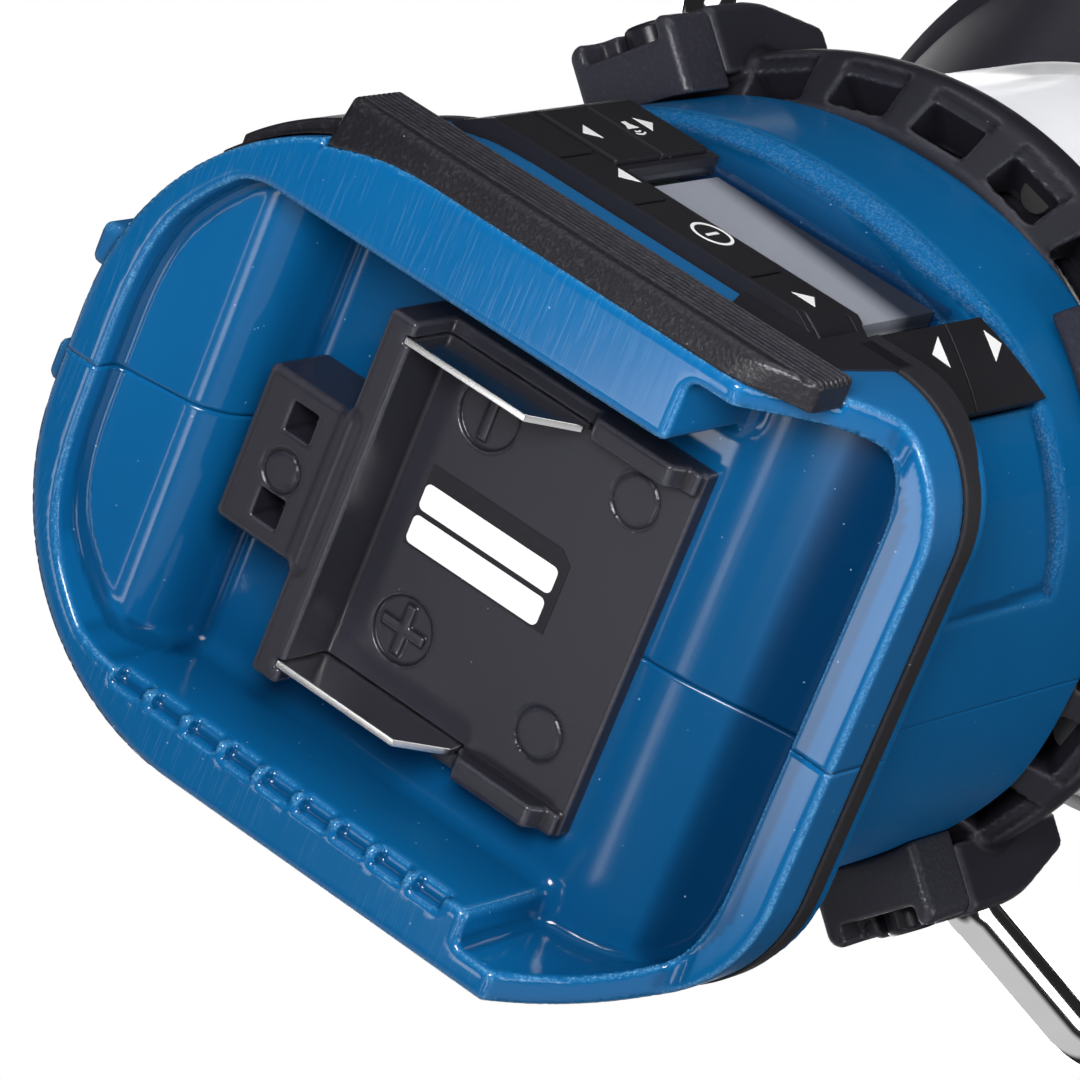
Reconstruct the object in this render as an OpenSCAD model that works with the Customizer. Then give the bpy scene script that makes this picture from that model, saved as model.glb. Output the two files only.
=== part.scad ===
// Camping lantern radio: a battery-powered radio base with a lantern head and a swinging bail.
// Millimetres, +Z up, origin on the standing plane under the lantern's axis; the controls face -Y.

/* [Base] */
// Reach of the base to the left of the axis
base_left = 66.6; // [62:0.2:72]
// Reach of the base's right end beyond the body's radius
right_out = 3.3; // [1.5:0.1:8]
// Depth of the base's front inside the body's radius
front_in = 8.9; // [7:0.1:10.5]
// Reach of the base behind the axis
base_back = 51.8; // [50:0.2:58]
// Height of the base shells
base_h = 33; // [32:0.5:36]
// Wall of all moulded shells
wall = 2.8; // [2:0.1:3.4]
// Radius of the front left corner of the base
corner_fl = 47; // [40:1:48]
// Radius of the back left corner of the base
corner_bl = 43; // [36:1:46]
// Radius of the front right corner of the base
corner_fr = 20; // [14:1:24]
// Radius of the back right corner of the base
corner_br = 27; // [20:1:30]
// Height of the base's raised right end above the standing plane
end_h = 23.7; // [18:0.1:26]
// Position of the seam between the front and rear shells
seam_y = 2.4; // [-1:0.1:4]

/* [Battery bay] */
// Middle of the bay and its terminal block, from the axis
bay_y = 2.3; // [1:0.1:4]
// Width of the bay between the front and rear rims
bay_w = 77.8; // [76:0.1:80]
// Height of the bay's ceiling above the standing plane
bay_h = 22; // [20:0.2:24]
// Width of the terminal block
block_w = 60.8; // [59:0.1:63]
// Distance between the two steel rails, over their inner faces
rail_gap = 53.3; // [50:0.1:54]
// Thickness of the rail plates
rail_t = 1.2; // [0.8:0.1:1.6]
// Length of the rail plates
rail_l = 25; // [18:0.5:28]
// Height of the block's lowest face and of the rails' lower edges
block_z = 8; // [6:0.2:10]

/* [Body] */
// Radius of the body
body_r = 60.5; // [58:0.1:62]
// Depth of the bowed front inside the body's radius
bow_in = 4.2; // [2.5:0.1:5.5]
// Depth of the flat sides inside the body's radius
side_in = 1; // [0.5:0.1:3.5]
// Height of the body's top edge
body_top = 104; // [100:0.5:108]
// Height of the rubber band between base and body
band_h = 4; // [2:0.2:6]

/* [Controls] */
// Depth of the control panel's face behind the bowed front
panel_in = 3.7; // [3.3:0.1:4.3]
// Height of the control panel's lower edge
panel_z = 26.5; // [25:0.2:27]
// Height of the keys in the lower row
row_h = 9.8; // [8:0.2:10]
// Travel of the keys
key_travel = 0.9; // [0.4:0.1:1]
// Gap round each key
key_gap = 0.35; // [0.2:0.05:0.6]
// Width of the display window
lcd_w = 45; // [36:0.5:45]
// Height of the display window
lcd_h = 21.5; // [16:0.5:22]

/* [Speaker collar] */
// Reach of the collar's band beyond the body's radius
collar_out = 4.8; // [3.5:0.1:6.5]
// Height of the collar above the body
collar_h = 23.5; // [22:0.5:28]
// Angle between neighbouring vents
vent_step = 15; // [15:15:30]
// Width of each vent
vent_w = 11; // [6:0.2:12]

/* [Bail] */
// Diameter of the bail's rod
bail_d = 8.5; // [6:0.1:9]
// Height of the bail's pivot axis above the body
bail_rise = 13.5; // [10:0.5:16]
// Reach of the bail's legs from the axis
bail_r = 101; // [96:0.5:106]
// Height of the bail's crown above the cap
bail_over = 34; // [23:1:48]
// Clearance of the pivots in their bores, on the radius
pivot_gap = 0.06; // [0.02:0.01:0.1]
// Width of the ears that carry the bail
ear_w = 20; // [18:0.2:24]
// Reach of the ears beyond the body's radius
ear_out = 12.9; // [11.5:0.1:15.5]
// Height of the corner guards
guard_h = 12.4; // [11:0.2:15]
// Height of the ears above the body
ear_h = 31; // [27:0.5:35]

/* [Lantern] */
// Depth of the globe inside the body's radius
globe_in = 2.1; // [1.5:0.1:3.5]
// Height of the globe above the collar
globe_h = 62.5; // [52:0.5:72]
// Thickness of the globe
globe_t = 2.4; // [1.6:0.1:3]
// Radius of the cap's rim
cap_r = 80.5; // [79:0.1:84]
// Height of the cap's widest point above the globe
cap_rise = 47; // [44:1:52]
// Height of the cap's crown above its widest point
cap_h = 25; // [19:1:29]

/* [Hidden] */
$fn = 96;
eps = 0.02;
slip = 0.1;
fit = 0.15;
floor_t = 3;
base_right = body_r + right_out;
base_front = body_r - front_in;
body_front = body_r - bow_in;
body_side = body_r - side_in;
panel_y = body_front - panel_in;
collar_r = body_r + collar_out;
ear_r = body_r + ear_out;
globe_r = body_r - globe_in;
collar_top = body_top + collar_h;
bail_z = body_top + bail_rise;
ear_z = body_top - guard_h;
ear_top = body_top + ear_h;
globe_top = collar_top + globe_h;
cap_z = globe_top + cap_rise;
cap_top = cap_z + cap_h;
bail_top = cap_top + bail_over;
rim_l = 4.6;
thin_rim = 3.8;
bay_front = bay_y - bay_w / 2;
bay_back = bay_y + bay_w / 2;
end_x = base_right - 25.3;
end_run = 15;
bay_step = end_x - 7.5;
band_z = base_h;
deck_z = band_z + band_h;
deck_t = 3;
deck_lip = 8;
band_in = wall + 2.2;
band_out = 0.4;
front_arc = 120;
panel_t = 3;
panel_l = 35;
panel_r = 36;
panel_top = 66;
sill = 1.2;
key_out = 0.8;
key_round = 0.5;
key_deep = 4.4;
plunger = 0.8;
plunger_w = 3;
row_z = panel_z + 2;
row_x = [-31, -17, -2.7, 19, 35.2];
lcd_x = -12.8;
lcd_z = 41;
lcd_back = 1.6;
volume_z = [40, 52.4, 65];
tune_t = [-6.2, 7.6];
tune_in = 2.2;
tune_clear = 0.525;
tune_r = norm([body_r - tune_in, tune_t[0]]);
tune_a = -acos((lcd_x + lcd_w + tune_clear) / tune_r) - atan2(tune_t[0], body_r - tune_in);
tune_gap = 0.5;
tune_out = 1.1;
tune_low = [41.5, 46.6];
tune_mid = 60.5;
tune_high = [71, 81];
visor_top = 78;
stop_gap = 0.3;
board_gap = key_deep + plunger + key_travel + stop_gap - panel_t;
board_y = panel_y - panel_t - board_gap;
board_t = 1.6;
window_t = 1.4;
module_t = 2.4;
module_r = 2.4;
panel_cut_t = 8;
panel_cut_h = lcd_z + lcd_h - panel_z;
row_gap = 0.6;
volume_gap = 0.4;
volume_r = 1.6;
collar_in = body_r - 6.5;
flare_r = body_r - 3.1;
flare_top = body_top + 8;
band_top = flare_top + 7;
neck_r = globe_r + globe_t;
shelf_t = 3;
shelf_z = collar_top - 3.5;
shelf_r = collar_in - 4;
seat_d = 3;
vent_h = 6.4;
vent_hood = 2.6;
hood_side = 0.3;
collar_screw_r = flare_r + 1;
collar_screw_a = 15;
seat_z = body_top + 11;
bore_top = collar_top - seat_d - 0.5;
eye_d = bail_d + 2 * pivot_gap;
eye_mouth = 15;
eye_deep = 4;
pivot_in = body_r + 2.1;
pivot_end = 0.6;
block_drop = 0.8;
heel_r = 6.5;
bend_r = 18;
bead = 0.5;
bail_low = 39;
crown_r = 62;
pin_d = 8;
pin_z = ear_z + 9.4;
seal_t = 1.2;
cap_z0 = globe_top + seal_t;
cap_t = 3;
cap_groove_r = cap_r - 5.5;
cap_groove_z = cap_z - 8;
cap_screw_r = 40;
screw_d = 3;
head_d = 5.6;
head_h = 1.4;
boss_d = 7;
base_screw_x = [-20, 4, 28];
base_screw_z = 29;
hook_w = 8;
hook_t = 4.4;
head_sink = 1.6;
notch_step = 7.4;
notch_w = 4.6;
notch_d = 2.4;
notch_h = 4;
top_x = [-35.8, 25.8];
top_w = 47.6;
top_h = 5;
rail_x = -18;
rail_sink = 1.5;
lug_out = 3.6;
lug_y = [-17, 2.7];
lug_w = 7;
lug_h = 11;
port_y = [-7.4, 1.6];
port_deep = 1.6;
port_out = 1.2;
port_h = 9;
port_z = floor_t + 1;
pad_x = [-55, -38.2];
pad_step = [0.6, 2.2];
pad_z = [3, 7, 25];
bumper_x = [-38, 47.5];
bumper_z = [0.4, 14.6];
bumper_t = 3;
rib_step = 1.25;
rib_w = 0.55;
rib_d = 0.5;
blue = [0.05, 0.33, 0.58];
black = [0.1, 0.1, 0.11];
steel = [0.75, 0.76, 0.78];
grey = [0.6, 0.6, 0.58];
green = [0.1, 0.35, 0.2];

module rounded(x0, x1, y0, y1, fl, fr, br, bl) {
    difference() {
        translate([x0, y0]) square([x1 - x0, y1 - y0]);
        translate([x0, y0]) corner(fl, 0);
        translate([x1, y0]) corner(fr, 90);
        translate([x1, y1]) corner(br, 180);
        translate([x0, y1]) corner(bl, 270);
    }
}

module corner(r, a) {
    rotate(a) difference() {
        translate([-1, -1]) square(r + 1);
        translate([r, r]) circle(r);
    }
}

module base_outline(d) {
    rounded(-base_left + d, base_right - d, -base_front + d, base_back - d,
            corner_fl - d, corner_fr - d, corner_br - d, corner_bl - d);
}

module body_outline(d) {
    intersection() {
        circle(body_r - d);
        translate([0, front_arc - body_front]) circle(front_arc - d, $fn = 360);
        translate([-body_side + d, -100]) square([2 * (body_side - d), 200]);
    }
}

module along_x(x0, x1) {
    translate([x0, 0, 0]) rotate([90, 0, 90]) linear_extrude(x1 - x0) children();
}

module along_y(y0, y1) {
    translate([0, y1, 0]) rotate([90, 0, 0]) linear_extrude(y1 - y0) children();
}

module bay_profile(d) {
    x0 = -base_left + rim_l + 0.6 - d;
    x1 = base_right - 7.2 + d;
    polygon([[x0, -2], [x0, 4.8 + d], [x0 + 9, 6.4 + d], [x0 + 17.6, 9.2 + d], [x0 + 20.4, 14 + d],
             [x0 + 21.6, bay_h + d], [end_x - 1, bay_h + d], [end_x + 8.5, 28.6 + d], [end_x + 13, 30 + d],
             [x1, 30 + d], [x1, -2]]);
}

module bay(d) {
    intersection() {
        union() {
            along_y(bay_front - d, bay_back + d) bay_profile(d);
            intersection() {
                along_y(-base_front + thin_rim - d, base_back - thin_rim + d) bay_profile(d);
                translate([bay_step - d, -80, -5]) cube([60, 160, 60]);
            }
        }
        translate([0, 0, -3]) linear_extrude(60) base_outline(rim_l - d);
    }
}

module end_cut(d) {
    x1 = end_x + end_run - d;
    along_y(-90, 90) polygon([[end_x - d, -1], [end_x - d, d], [x1, end_h + d], [90, end_h + d], [90, -1]]);
}

module panel_cut(d) {
    translate([-panel_l - d, -100, panel_z - d])
        cube([panel_l + panel_r + 2 * d, 100 - panel_y + panel_cut_t, panel_cut_h]);
}

module base_solid() {
    difference() {
        union() {
            linear_extrude(base_h) base_outline(0);
            for (y = lug_y)
                translate([-base_left - lug_out, y, floor_t]) cube([lug_out + wall, lug_w, lug_h]);
        }
        bay(0);
        difference() {
            translate([0, 0, floor_t]) linear_extrude(base_h) base_outline(wall);
            bay(wall);
            end_cut(wall);
        }
        end_cut(0);
        panel_cut(key_gap);
        translate([top_x[0] - 2 * slip, bay_y - top_w / 2 - 2 * slip, bay_h - 1])
            cube([top_x[1] - top_x[0] + 4 * slip, top_w + 4 * slip, 8]);
        translate([-base_left - 1, port_y[0], port_z]) cube([port_deep + 1, port_y[1] - port_y[0], port_h]);
        for (x = base_screw_x)
            translate([x, base_back + 1, base_screw_z]) rotate([90, 0, 0]) {
                cylinder(d = screw_d, h = 12);
                cylinder(d = boss_d, h = 1 + head_sink);
            }
        for (i = [0 : 8])
            translate([-38 + i * notch_step, bay_back - 1, -1]) cube([notch_w, 1 + notch_d, 1 + notch_h]);
    }
}

module base_front_shell() {
    color(blue) intersection() {
        base_solid();
        translate([-100, -100, -5]) cube([200, 100 + seam_y - slip / 2, 80]);
    }
}

module base_rear_shell() {
    color(blue) intersection() {
        base_solid();
        translate([-100, seam_y + slip / 2, -5]) cube([200, 100, 80]);
    }
}

module edge_band() {
    color(black) difference() {
        translate([0, 0, band_z]) linear_extrude(band_h) base_outline(-band_out);
        translate([0, 0, band_z - 1]) linear_extrude(band_h + 2) base_outline(band_in);
        panel_cut(key_gap);
    }
}

module front_bumper() {
    y = -base_front;
    x0 = bumper_x[0];
    x1 = bumper_x[1];
    z0 = bumper_z[0];
    z1 = bumper_z[1];
    color(black) difference() {
        intersection() {
            along_y(y - 5, y + 5)
                polygon([[x0, z0], [x1 - 9.5, z0], [x1, z0 + 5], [x1, z1 - 1.2], [x1 - 3.5, z1], [x0, z1]]);
            along_x(x0, x1) polygon([[y + 5, z0], [y, z0], [y - bumper_t, z0 + bumper_t], [y - bumper_t, z1],
                                     [y + 5, z1]]);
        }
        linear_extrude(base_h) base_outline(0);
        for (i = [0 : 7])
            translate([x0 - 1, y - bumper_t - 1, z0 + 4 + i * rib_step])
                cube([x1 - x0 + 2, 1 + rib_d, rib_w]);
    }
}

module corner_pad() {
    color(black) intersection() {
        union() {
            translate([0, 0, pad_z[0]]) linear_extrude(pad_z[1] - pad_z[0]) pad_plan(pad_step[0]);
            translate([0, 0, pad_z[1] - eps]) linear_extrude(pad_z[2] - pad_z[1] + eps) pad_plan(pad_step[1]);
        }
        translate([pad_x[0], -80, 0]) cube([pad_x[1] - pad_x[0], 80, base_h]);
    }
}

module pad_plan(d) {
    difference() {
        base_outline(-d);
        base_outline(0);
    }
}

module port_cover() {
    y = port_y[0] + slip;
    w = port_y[1] - port_y[0] - 2 * slip;
    color(black) {
        translate([-base_left - port_out, y, port_z + slip])
            cube([port_deep + port_out, w, port_h - 2 * slip]);
        translate([-base_left - port_out - 1, y + w / 2 - 1.5, port_z + 3]) cube([1 + eps, 3, 3]);
    }
}

function rail_y(s) = bay_y + s * (rail_gap / 2 + rail_t / 2);

module terminal_block() {
    y0 = bay_y - block_w / 2;
    color(black) difference() {
        union() {
            translate([-22, y0, block_z]) cube([5, block_w, bay_h - block_z]);
            translate([-37.5, bay_y - 12.9, block_z]) cube([15.5 + eps, 25.8, bay_h - block_z]);
            translate([-22, y0, bay_h - 3]) cube([52, block_w, 3]);
            for (s = [0, 1])
                along_y(y0 + s * (block_w - 3), y0 + s * (block_w - 3) + 3)
                    polygon([[9, bay_h - 1], [12, bay_h - 7], [26, bay_h - 7], [29, bay_h - 1]]);
            translate([top_x[0], bay_y - top_w / 2, bay_h - eps]) cube([top_x[1] - top_x[0], top_w, top_h]);
        }
        for (s = [-1, 1]) {
            translate([-31.4, bay_y + s * 7.2 - 2.4, block_z - 1]) cube([4.8, 4.8, 9]);
            translate([-8.2, bay_y + s * 18, bay_h - 4]) cylinder(d = 10.6, h = 1.5);
            translate([19.2, bay_y + s * 19.8, bay_h - 4]) cylinder(d = 8, h = 1.3);
            translate([rail_x - slip, rail_y(s) - rail_t / 2 - slip, block_z - 1])
                cube([rail_l + 3 + 2 * slip, rail_t + 2 * slip, bay_h - rail_sink + slip - block_z + 1]);
            translate([-16.5, bay_y + s * 9 - 5, bay_h + 1.5]) cube([30, 10, 5]);
        }
        translate([-29.2, bay_y + 1, block_z - 1]) cylinder(d = 6.4, h = 1.4);
    }
}

module terminal_rails() {
    x1 = rail_x + rail_l;
    z1 = bay_h - rail_sink;
    color(steel) for (s = [-1, 1])
        along_y(rail_y(s) - rail_t / 2, rail_y(s) + rail_t / 2)
            polygon([[rail_x, block_z], [x1 - 2, block_z], [x1 + 3, z1 - 4.5], [x1 + 3, z1], [rail_x, z1]]);
}

module terminal_contacts() {
    color(steel) for (s = [-1, 1]) {
        translate([-14, bay_y + s * 9 - 3, bay_h + 1.5]) cube([22, 6, 0.8]);
        translate([6.6, bay_y + s * 9 - 1.2, bay_h + 2.3 - eps]) cube([0.8, 2.4, 7.7]);
    }
}

module base_screws() {
    color(steel) for (x = base_screw_x)
        translate([x, base_back - head_sink, base_screw_z]) rotate([90, 0, 0]) {
            translate([0, 0, -head_sink / 4]) cylinder(d = screw_d - slip, h = 9.4);
            translate([0, 0, -1.2]) difference() {
                cylinder(d = boss_d - 8 * slip, h = 1.2);
                for (a = [0, 90])
                    rotate(a) translate([-1.8, -0.35, -0.1]) cube([3.6, 0.7, 0.8]);
            }
        }
}

module visor_profile(d) {
    polygon([[-panel_y + 2.1 + d, lcd_z + lcd_h], [-panel_y - 0.2 + d, 69.5], [-body_front + d, visor_top],
             [-70, visor_top], [-70, 20], [-panel_y + 2.1 + d, 20]]);
}

module hook(x) {
    z = base_screw_z - boss_d / 2;
    y = base_back - band_in - fit;
    translate([x - hook_w / 2, y - hook_t, z]) difference() {
        cube([hook_w, hook_t, deck_z - z + eps]);
        translate([hook_w / 2, -1, boss_d / 2]) rotate([-90, 0, 0]) cylinder(d = screw_d, h = hook_t + 2);
    }
}

module body_solid() {
    difference() {
        union() {
            difference() {
                union() {
                    translate([0, 0, deck_z]) linear_extrude(body_top - deck_z) body_outline(0);
                    translate([0, 0, deck_z]) linear_extrude(deck_t) base_outline(0);
                }
                translate([0, 0, deck_z + deck_t]) linear_extrude(body_top) body_outline(wall);
                translate([0, 0, deck_z - 1]) linear_extrude(deck_t + 2) base_outline(deck_lip);
            }
            for (x = base_screw_x)
                hook(x);
            intersection() {
                along_x(-panel_l - 3, panel_r + 4) difference() {
                    translate([-60, lcd_z + lcd_h]) square([30, visor_top - lcd_z - lcd_h]);
                    translate([-panel_y + 4.9, 0]) square([60, 100]);
                }
                linear_extrude(100) body_outline(0);
            }
        }
        along_x(-panel_l, panel_r) visor_profile(0);
        panel_cut(0);
        translate([-panel_l, -100, panel_z])
            cube([panel_l + lcd_x, 100 - panel_y + panel_cut_t, panel_top + slip - panel_z]);
        tune_plan(key_gap, tune_low, tune_high, body_r - 8, body_r + 9);
        for (s = [-1, 1])
            translate([s * body_side - 0.6, -16, deck_z + 6]) cube([1.2, 28.8, 42]);
    }
}

module body_front_shell() {
    color(blue) intersection() {
        body_solid();
        translate([-100, -100, 0]) cube([200, 100 + seam_y - slip / 2, 200]);
    }
}

module body_rear_shell() {
    color(blue) intersection() {
        body_solid();
        translate([-100, seam_y + slip / 2, 0]) cube([200, 100, 200]);
    }
}

module key_pocket(x0, x1, z0, z1) {
    translate([x0 - key_gap, -panel_y - 6, z0 - key_gap])
        cube([x1 - x0 + 2 * key_gap, 20, z1 - z0 + 2 * key_gap]);
}

module panel_bezel() {
    y = -panel_y;
    color(black) difference() {
        intersection() {
            union() {
                translate([-panel_l + slip, y, panel_z + slip])
                    cube([panel_l + panel_r - 2 * slip, panel_t, panel_top - panel_z - slip]);
                translate([-panel_l + slip, y - sill, panel_z + slip])
                    cube([panel_l + panel_r - 2 * slip, sill + slip, sill]);
            }
            cylinder(r = body_r + key_round, h = 200);
        }
        for (i = [0 : 3])
            key_pocket(row_x[i], row_x[i + 1] - row_gap, row_z, row_z + row_h);
        for (i = [0, 1])
            key_pocket(row_x[0], lcd_x - volume_r, volume_z[i], volume_z[i + 1] - volume_gap);
        translate([lcd_x, y - 6, lcd_z]) cube([lcd_w, 20, lcd_h]);
        translate([lcd_x, y - 6, lcd_z + 1]) cube([60, 20, 60]);
        translate([lcd_x + lcd_w, y - 6, tune_low[0] - 1]) cube([60, 20, 60]);
    }
}

module front_key(x0, x1, z0, z1) {
    y = -panel_y - key_out;
    color(black) intersection() {
        union() {
            translate([x0, y, z0]) cube([x1 - x0, key_out + key_deep, z1 - z0]);
            translate([(x0 + x1 - plunger_w) / 2, y + key_out + key_deep - eps, (z0 + z1 - plunger_w) / 2])
                cube([plunger_w, plunger, plunger_w]);
        }
        cylinder(r = body_r + key_round, h = 200);
    }
}

module row_key(i) {
    front_key(row_x[i], row_x[i + 1] - row_gap, row_z, row_z + row_h);
}

module volume_key(i) {
    front_key(row_x[0], lcd_x - volume_r, volume_z[i], volume_z[i + 1] - volume_gap);
}

module tune_plan(d, low, high, r0, r1) {
    t0 = tune_t[0] - d;
    t1 = tune_t[1] + d;
    intersection() {
        difference() {
            cylinder(r = r1, h = 200);
            translate([0, 0, -1]) cylinder(r = r0, h = 202);
        }
        rotate(tune_a) along_x(0, 100) polygon([[t0, low[0] - d], [t1, low[1] - d], [t1, high[1] + d],
            [t0, high[0] + d]]);
    }
}

module tune_key(low, high) {
    mid = (low[0] + low[1] + high[0] + high[1]) / 4;
    color(black) union() {
        tune_plan(0, low, high, body_r - tune_in, body_r + tune_out);
        rotate(tune_a) translate([body_r - tune_in - plunger, -plunger_w / 2, mid - plunger_w / 2])
            cube([tune_in, plunger_w, plunger_w]);
    }
}

module key_mode() { row_key(0); }
module key_preset_down() { row_key(1); }
module key_power() { row_key(2); }
module key_preset_up() { row_key(3); }
module key_volume_down() { volume_key(0); }
module key_volume_up() { volume_key(1); }
module key_tune_down() { tune_key(tune_low, [tune_mid, tune_mid]); }
module key_tune_up() { tune_key([tune_mid + tune_gap, tune_mid + tune_gap], tune_high); }

module display_window() {
    color(grey) translate([lcd_x + slip, -panel_y + lcd_back, lcd_z + slip])
        cube([lcd_w - 2 * slip, window_t, lcd_h - 2 * slip]);
}

module display_module() {
    color(grey) translate([lcd_x + 1, -panel_y + lcd_back + window_t, lcd_z + 1])
        cube([lcd_w - 1 - module_r, module_t, lcd_h - 2]);
}

module keypad_board() {
    back = panel_y - lcd_back - window_t - module_t;
    color(green) union() {
        translate([-panel_l + 2, -board_y, panel_z + 1])
            cube([panel_l + lcd_x + lcd_w - 4, board_t, panel_top - panel_z - 2]);
        translate([row_x[0], -panel_y + panel_t, row_z + row_h + row_gap]) cube([4, board_gap + eps, 1]);
        translate([lcd_x + 4, -back, lcd_z + 4]) cube([30, back - board_y + eps, 12]);
    }
}

module main_board() {
    z = deck_z + 8;
    x0 = -body_r + 18.5;
    x1 = body_r - 24.5;
    y0 = -body_r + 24.5;
    y1 = body_r - 22.5;
    color(green) union() {
        translate([x0, y0, z]) cube([x1 - x0, y1 - y0, board_t]);
        for (x = [x0 + 1, x1 - 5], y = [y0 + 2, y1 - 5])
            translate([x, y, bay_h + wall]) cube([4, 4, z - bay_h - wall + eps]);
        translate([-20, -10, z + board_t - eps]) cube([24, 18, 6]);
    }
}

module speaker_baffle() {
    color(black) translate([0, 0, body_top - 3]) difference() {
        linear_extrude(3) body_outline(wall + fit);
        translate([0, 0, -1]) cylinder(r = 37, h = 6);
    }
}

module speaker_driver() {
    color(black) translate([0, 0, body_top]) rotate_extrude()
        polygon([[0, -36], [19, -36], [19, -24], [24, -24], [36.4, -4], [36.4, 0], [42, 0], [42, 2.5],
                 [35, 2.5], [33, 1], [12, -12], [9, -8], [0, -6.5]]);
}

module vent(a) {
    rotate(a) translate([(flare_r + collar_r) / 2, 0, (body_top + flare_top) / 2]) rotate([0, 45, 0]) {
        translate([-12, -vent_w / 2, -4.2]) cube([20, vent_w, vent_h]);
        translate([-0.8, -vent_w / 2 - hood_side, vent_h - 4.2 - eps])
            cube([8, vent_w + 2 * hood_side, vent_hood]);
    }
}

module ear(a, top, face) {
    rotate(a) translate([0, ear_w / 2, 0]) rotate([90, 0, 0]) linear_extrude(ear_w)
        polygon([[pivot_in - pivot_end, body_top], [ear_r, body_top], [ear_r, face], [ear_r - 5.6, top],
                 [pivot_in - pivot_end, top]]);
}

module collar() {
    color(black) difference() {
        union() {
            rotate_extrude() polygon([[collar_in, body_top], [flare_r, body_top], [collar_r, flare_top],
                [collar_r, band_top], [neck_r, collar_top - 1.5], [neck_r, collar_top],
                [globe_r - 4, collar_top], [globe_r - 4, shelf_z], [shelf_r, shelf_z],
                [shelf_r, shelf_z - shelf_t], [collar_in, shelf_z - shelf_t]]);
            for (a = [45, 225])
                ear(a, ear_top, bail_z + 1);
            for (a = [135, 315])
                ear(a, band_top - block_drop, flare_top);
        }
        for (a = [0 : vent_step : 359])
            if (a % 90 != 45)
                vent(a);
        for (a = [45, 225]) rotate(a) {
            translate([0, 0, bail_z]) rotate([0, 90, 0]) {
                translate([0, 0, pivot_in - pivot_end]) cylinder(d = eye_d, h = 30);
                translate([0, 0, ear_r - eye_deep]) cylinder(d = eye_mouth, h = 30);
            }
            pin(pin_d + slip, 20);
        }
        translate([0, 0, collar_top - seat_d]) rotate_extrude() translate([globe_r - globe_t - fit, 0])
            square([globe_t + 2 * fit, 5]);
        for (a = [collar_screw_a : 90 : 360])
            rotate(a) translate([collar_screw_r, 0, body_top + 4]) {
                cylinder(d = head_d + 2 * slip, h = seat_z - body_top - 4);
                cylinder(d = screw_d, h = bore_top - body_top - 4);
            }
    }
}

module pin(d, l) {
    translate([body_r + 1, 0, pin_z]) rotate([0, 90, 0]) cylinder(d = d, h = l);
}

module corner_guards() {
    color(black) for (a = [45 : 90 : 360]) rotate(a) difference() {
        translate([body_r - 4, -ear_w / 2, ear_z]) cube([ear_r - body_r + 4 - 0.6, ear_w, body_top - ear_z]);
        translate([0, 0, ear_z - 1]) cylinder(r = body_r + fit, h = 40);
        if (a % 180 == 45) {
            translate([ear_r - 7, -7, ear_z - 1]) cube([20, 14, 7]);
            pin(pin_d + slip, 20);
            translate([ear_r - 7, -4, ear_z + 5]) cube([20, 8, 5]);
        }
    }
}

module ear_pins() {
    color(steel) for (a = [45, 225]) rotate(a)
        pin(pin_d, ear_r - body_r - 1);
}

module collar_screws() {
    color(steel) for (a = [collar_screw_a : 90 : 360])
        rotate(a) translate([collar_screw_r, 0, seat_z - head_h]) {
            cylinder(d = screw_d - slip, h = bore_top - slip - seat_z + head_h);
            cylinder(d = head_d, h = head_h);
        }
}

module rod(p, q) {
    d = q - p;
    translate([p[0], 0, p[1]]) rotate([0, 90 - atan2(d[1], d[0]), 0]) cylinder(d = bail_d, h = norm(d));
}

module bend(c, r, a0, a1) {
    translate([c[0], 0, c[1]]) rotate([90, 0, 0]) rotate(a0) rotate_extrude(angle = a1 - a0)
        translate([r, 0]) circle(d = bail_d);
}

module knuckle(p) {
    translate([p[0], 0, p[1]]) sphere(d = bail_d + bead);
}

module bail_half() {
    a = bail_low;
    k = ear_r - eye_deep + 0.6;
    p1 = [k + heel_r * sin(a), bail_z + heel_r * (1 - cos(a))];
    run = (bail_r - bend_r * (1 - sin(a)) - p1[0]) / cos(a);
    p2 = p1 + run * [cos(a), sin(a)];
    c2 = [bail_r - bend_r, p2[1] + bend_r * cos(a)];
    top = bail_top - bail_d / 2 - crown_r;
    rod([pivot_in, bail_z], [k, bail_z]);
    bend([k, bail_z + heel_r], heel_r, 270, 270 + a);
    knuckle(p1);
    rod(p1, p2);
    knuckle(p2);
    bend(c2, bend_r, 270 + a, 360);
    knuckle([bail_r, c2[1]]);
    rod([bail_r, c2[1]], [bail_r, top]);
    bend([bail_r - crown_r, top], crown_r, 0, 90);
    rod([0, bail_top - bail_d / 2], [bail_r - crown_r, bail_top - bail_d / 2]);
}

module bail() {
    color(steel) for (a = [45, 225])
        rotate(a) bail_half();
}

module led_board() {
    color([0.9, 0.9, 0.86]) translate([0, 0, shelf_z]) difference() {
        cylinder(r = globe_r - 4 - fit, h = board_t);
        translate([0, 0, -1]) cylinder(d = 8, h = 5);
    }
}

module led_column() {
    z = shelf_z + board_t;
    color([0.95, 0.95, 0.9]) rotate_extrude()
        polygon([[6, z], [20, z], [20, z + 3], [14, z + 8], [13, cap_z0], [6, cap_z0]]);
}

module globe() {
    color([0.92, 0.95, 0.98, 0.5]) rotate_extrude() polygon([[globe_r - globe_t, collar_top - seat_d],
        [globe_r, collar_top - seat_d], [globe_r, globe_top], [globe_r - globe_t, globe_top]]);
}

module globe_seal() {
    color(black) translate([0, 0, globe_top]) difference() {
        cylinder(r = globe_r, h = seal_t);
        translate([0, 0, -1]) cylinder(r = globe_r - globe_t, h = 4);
    }
}

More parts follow.
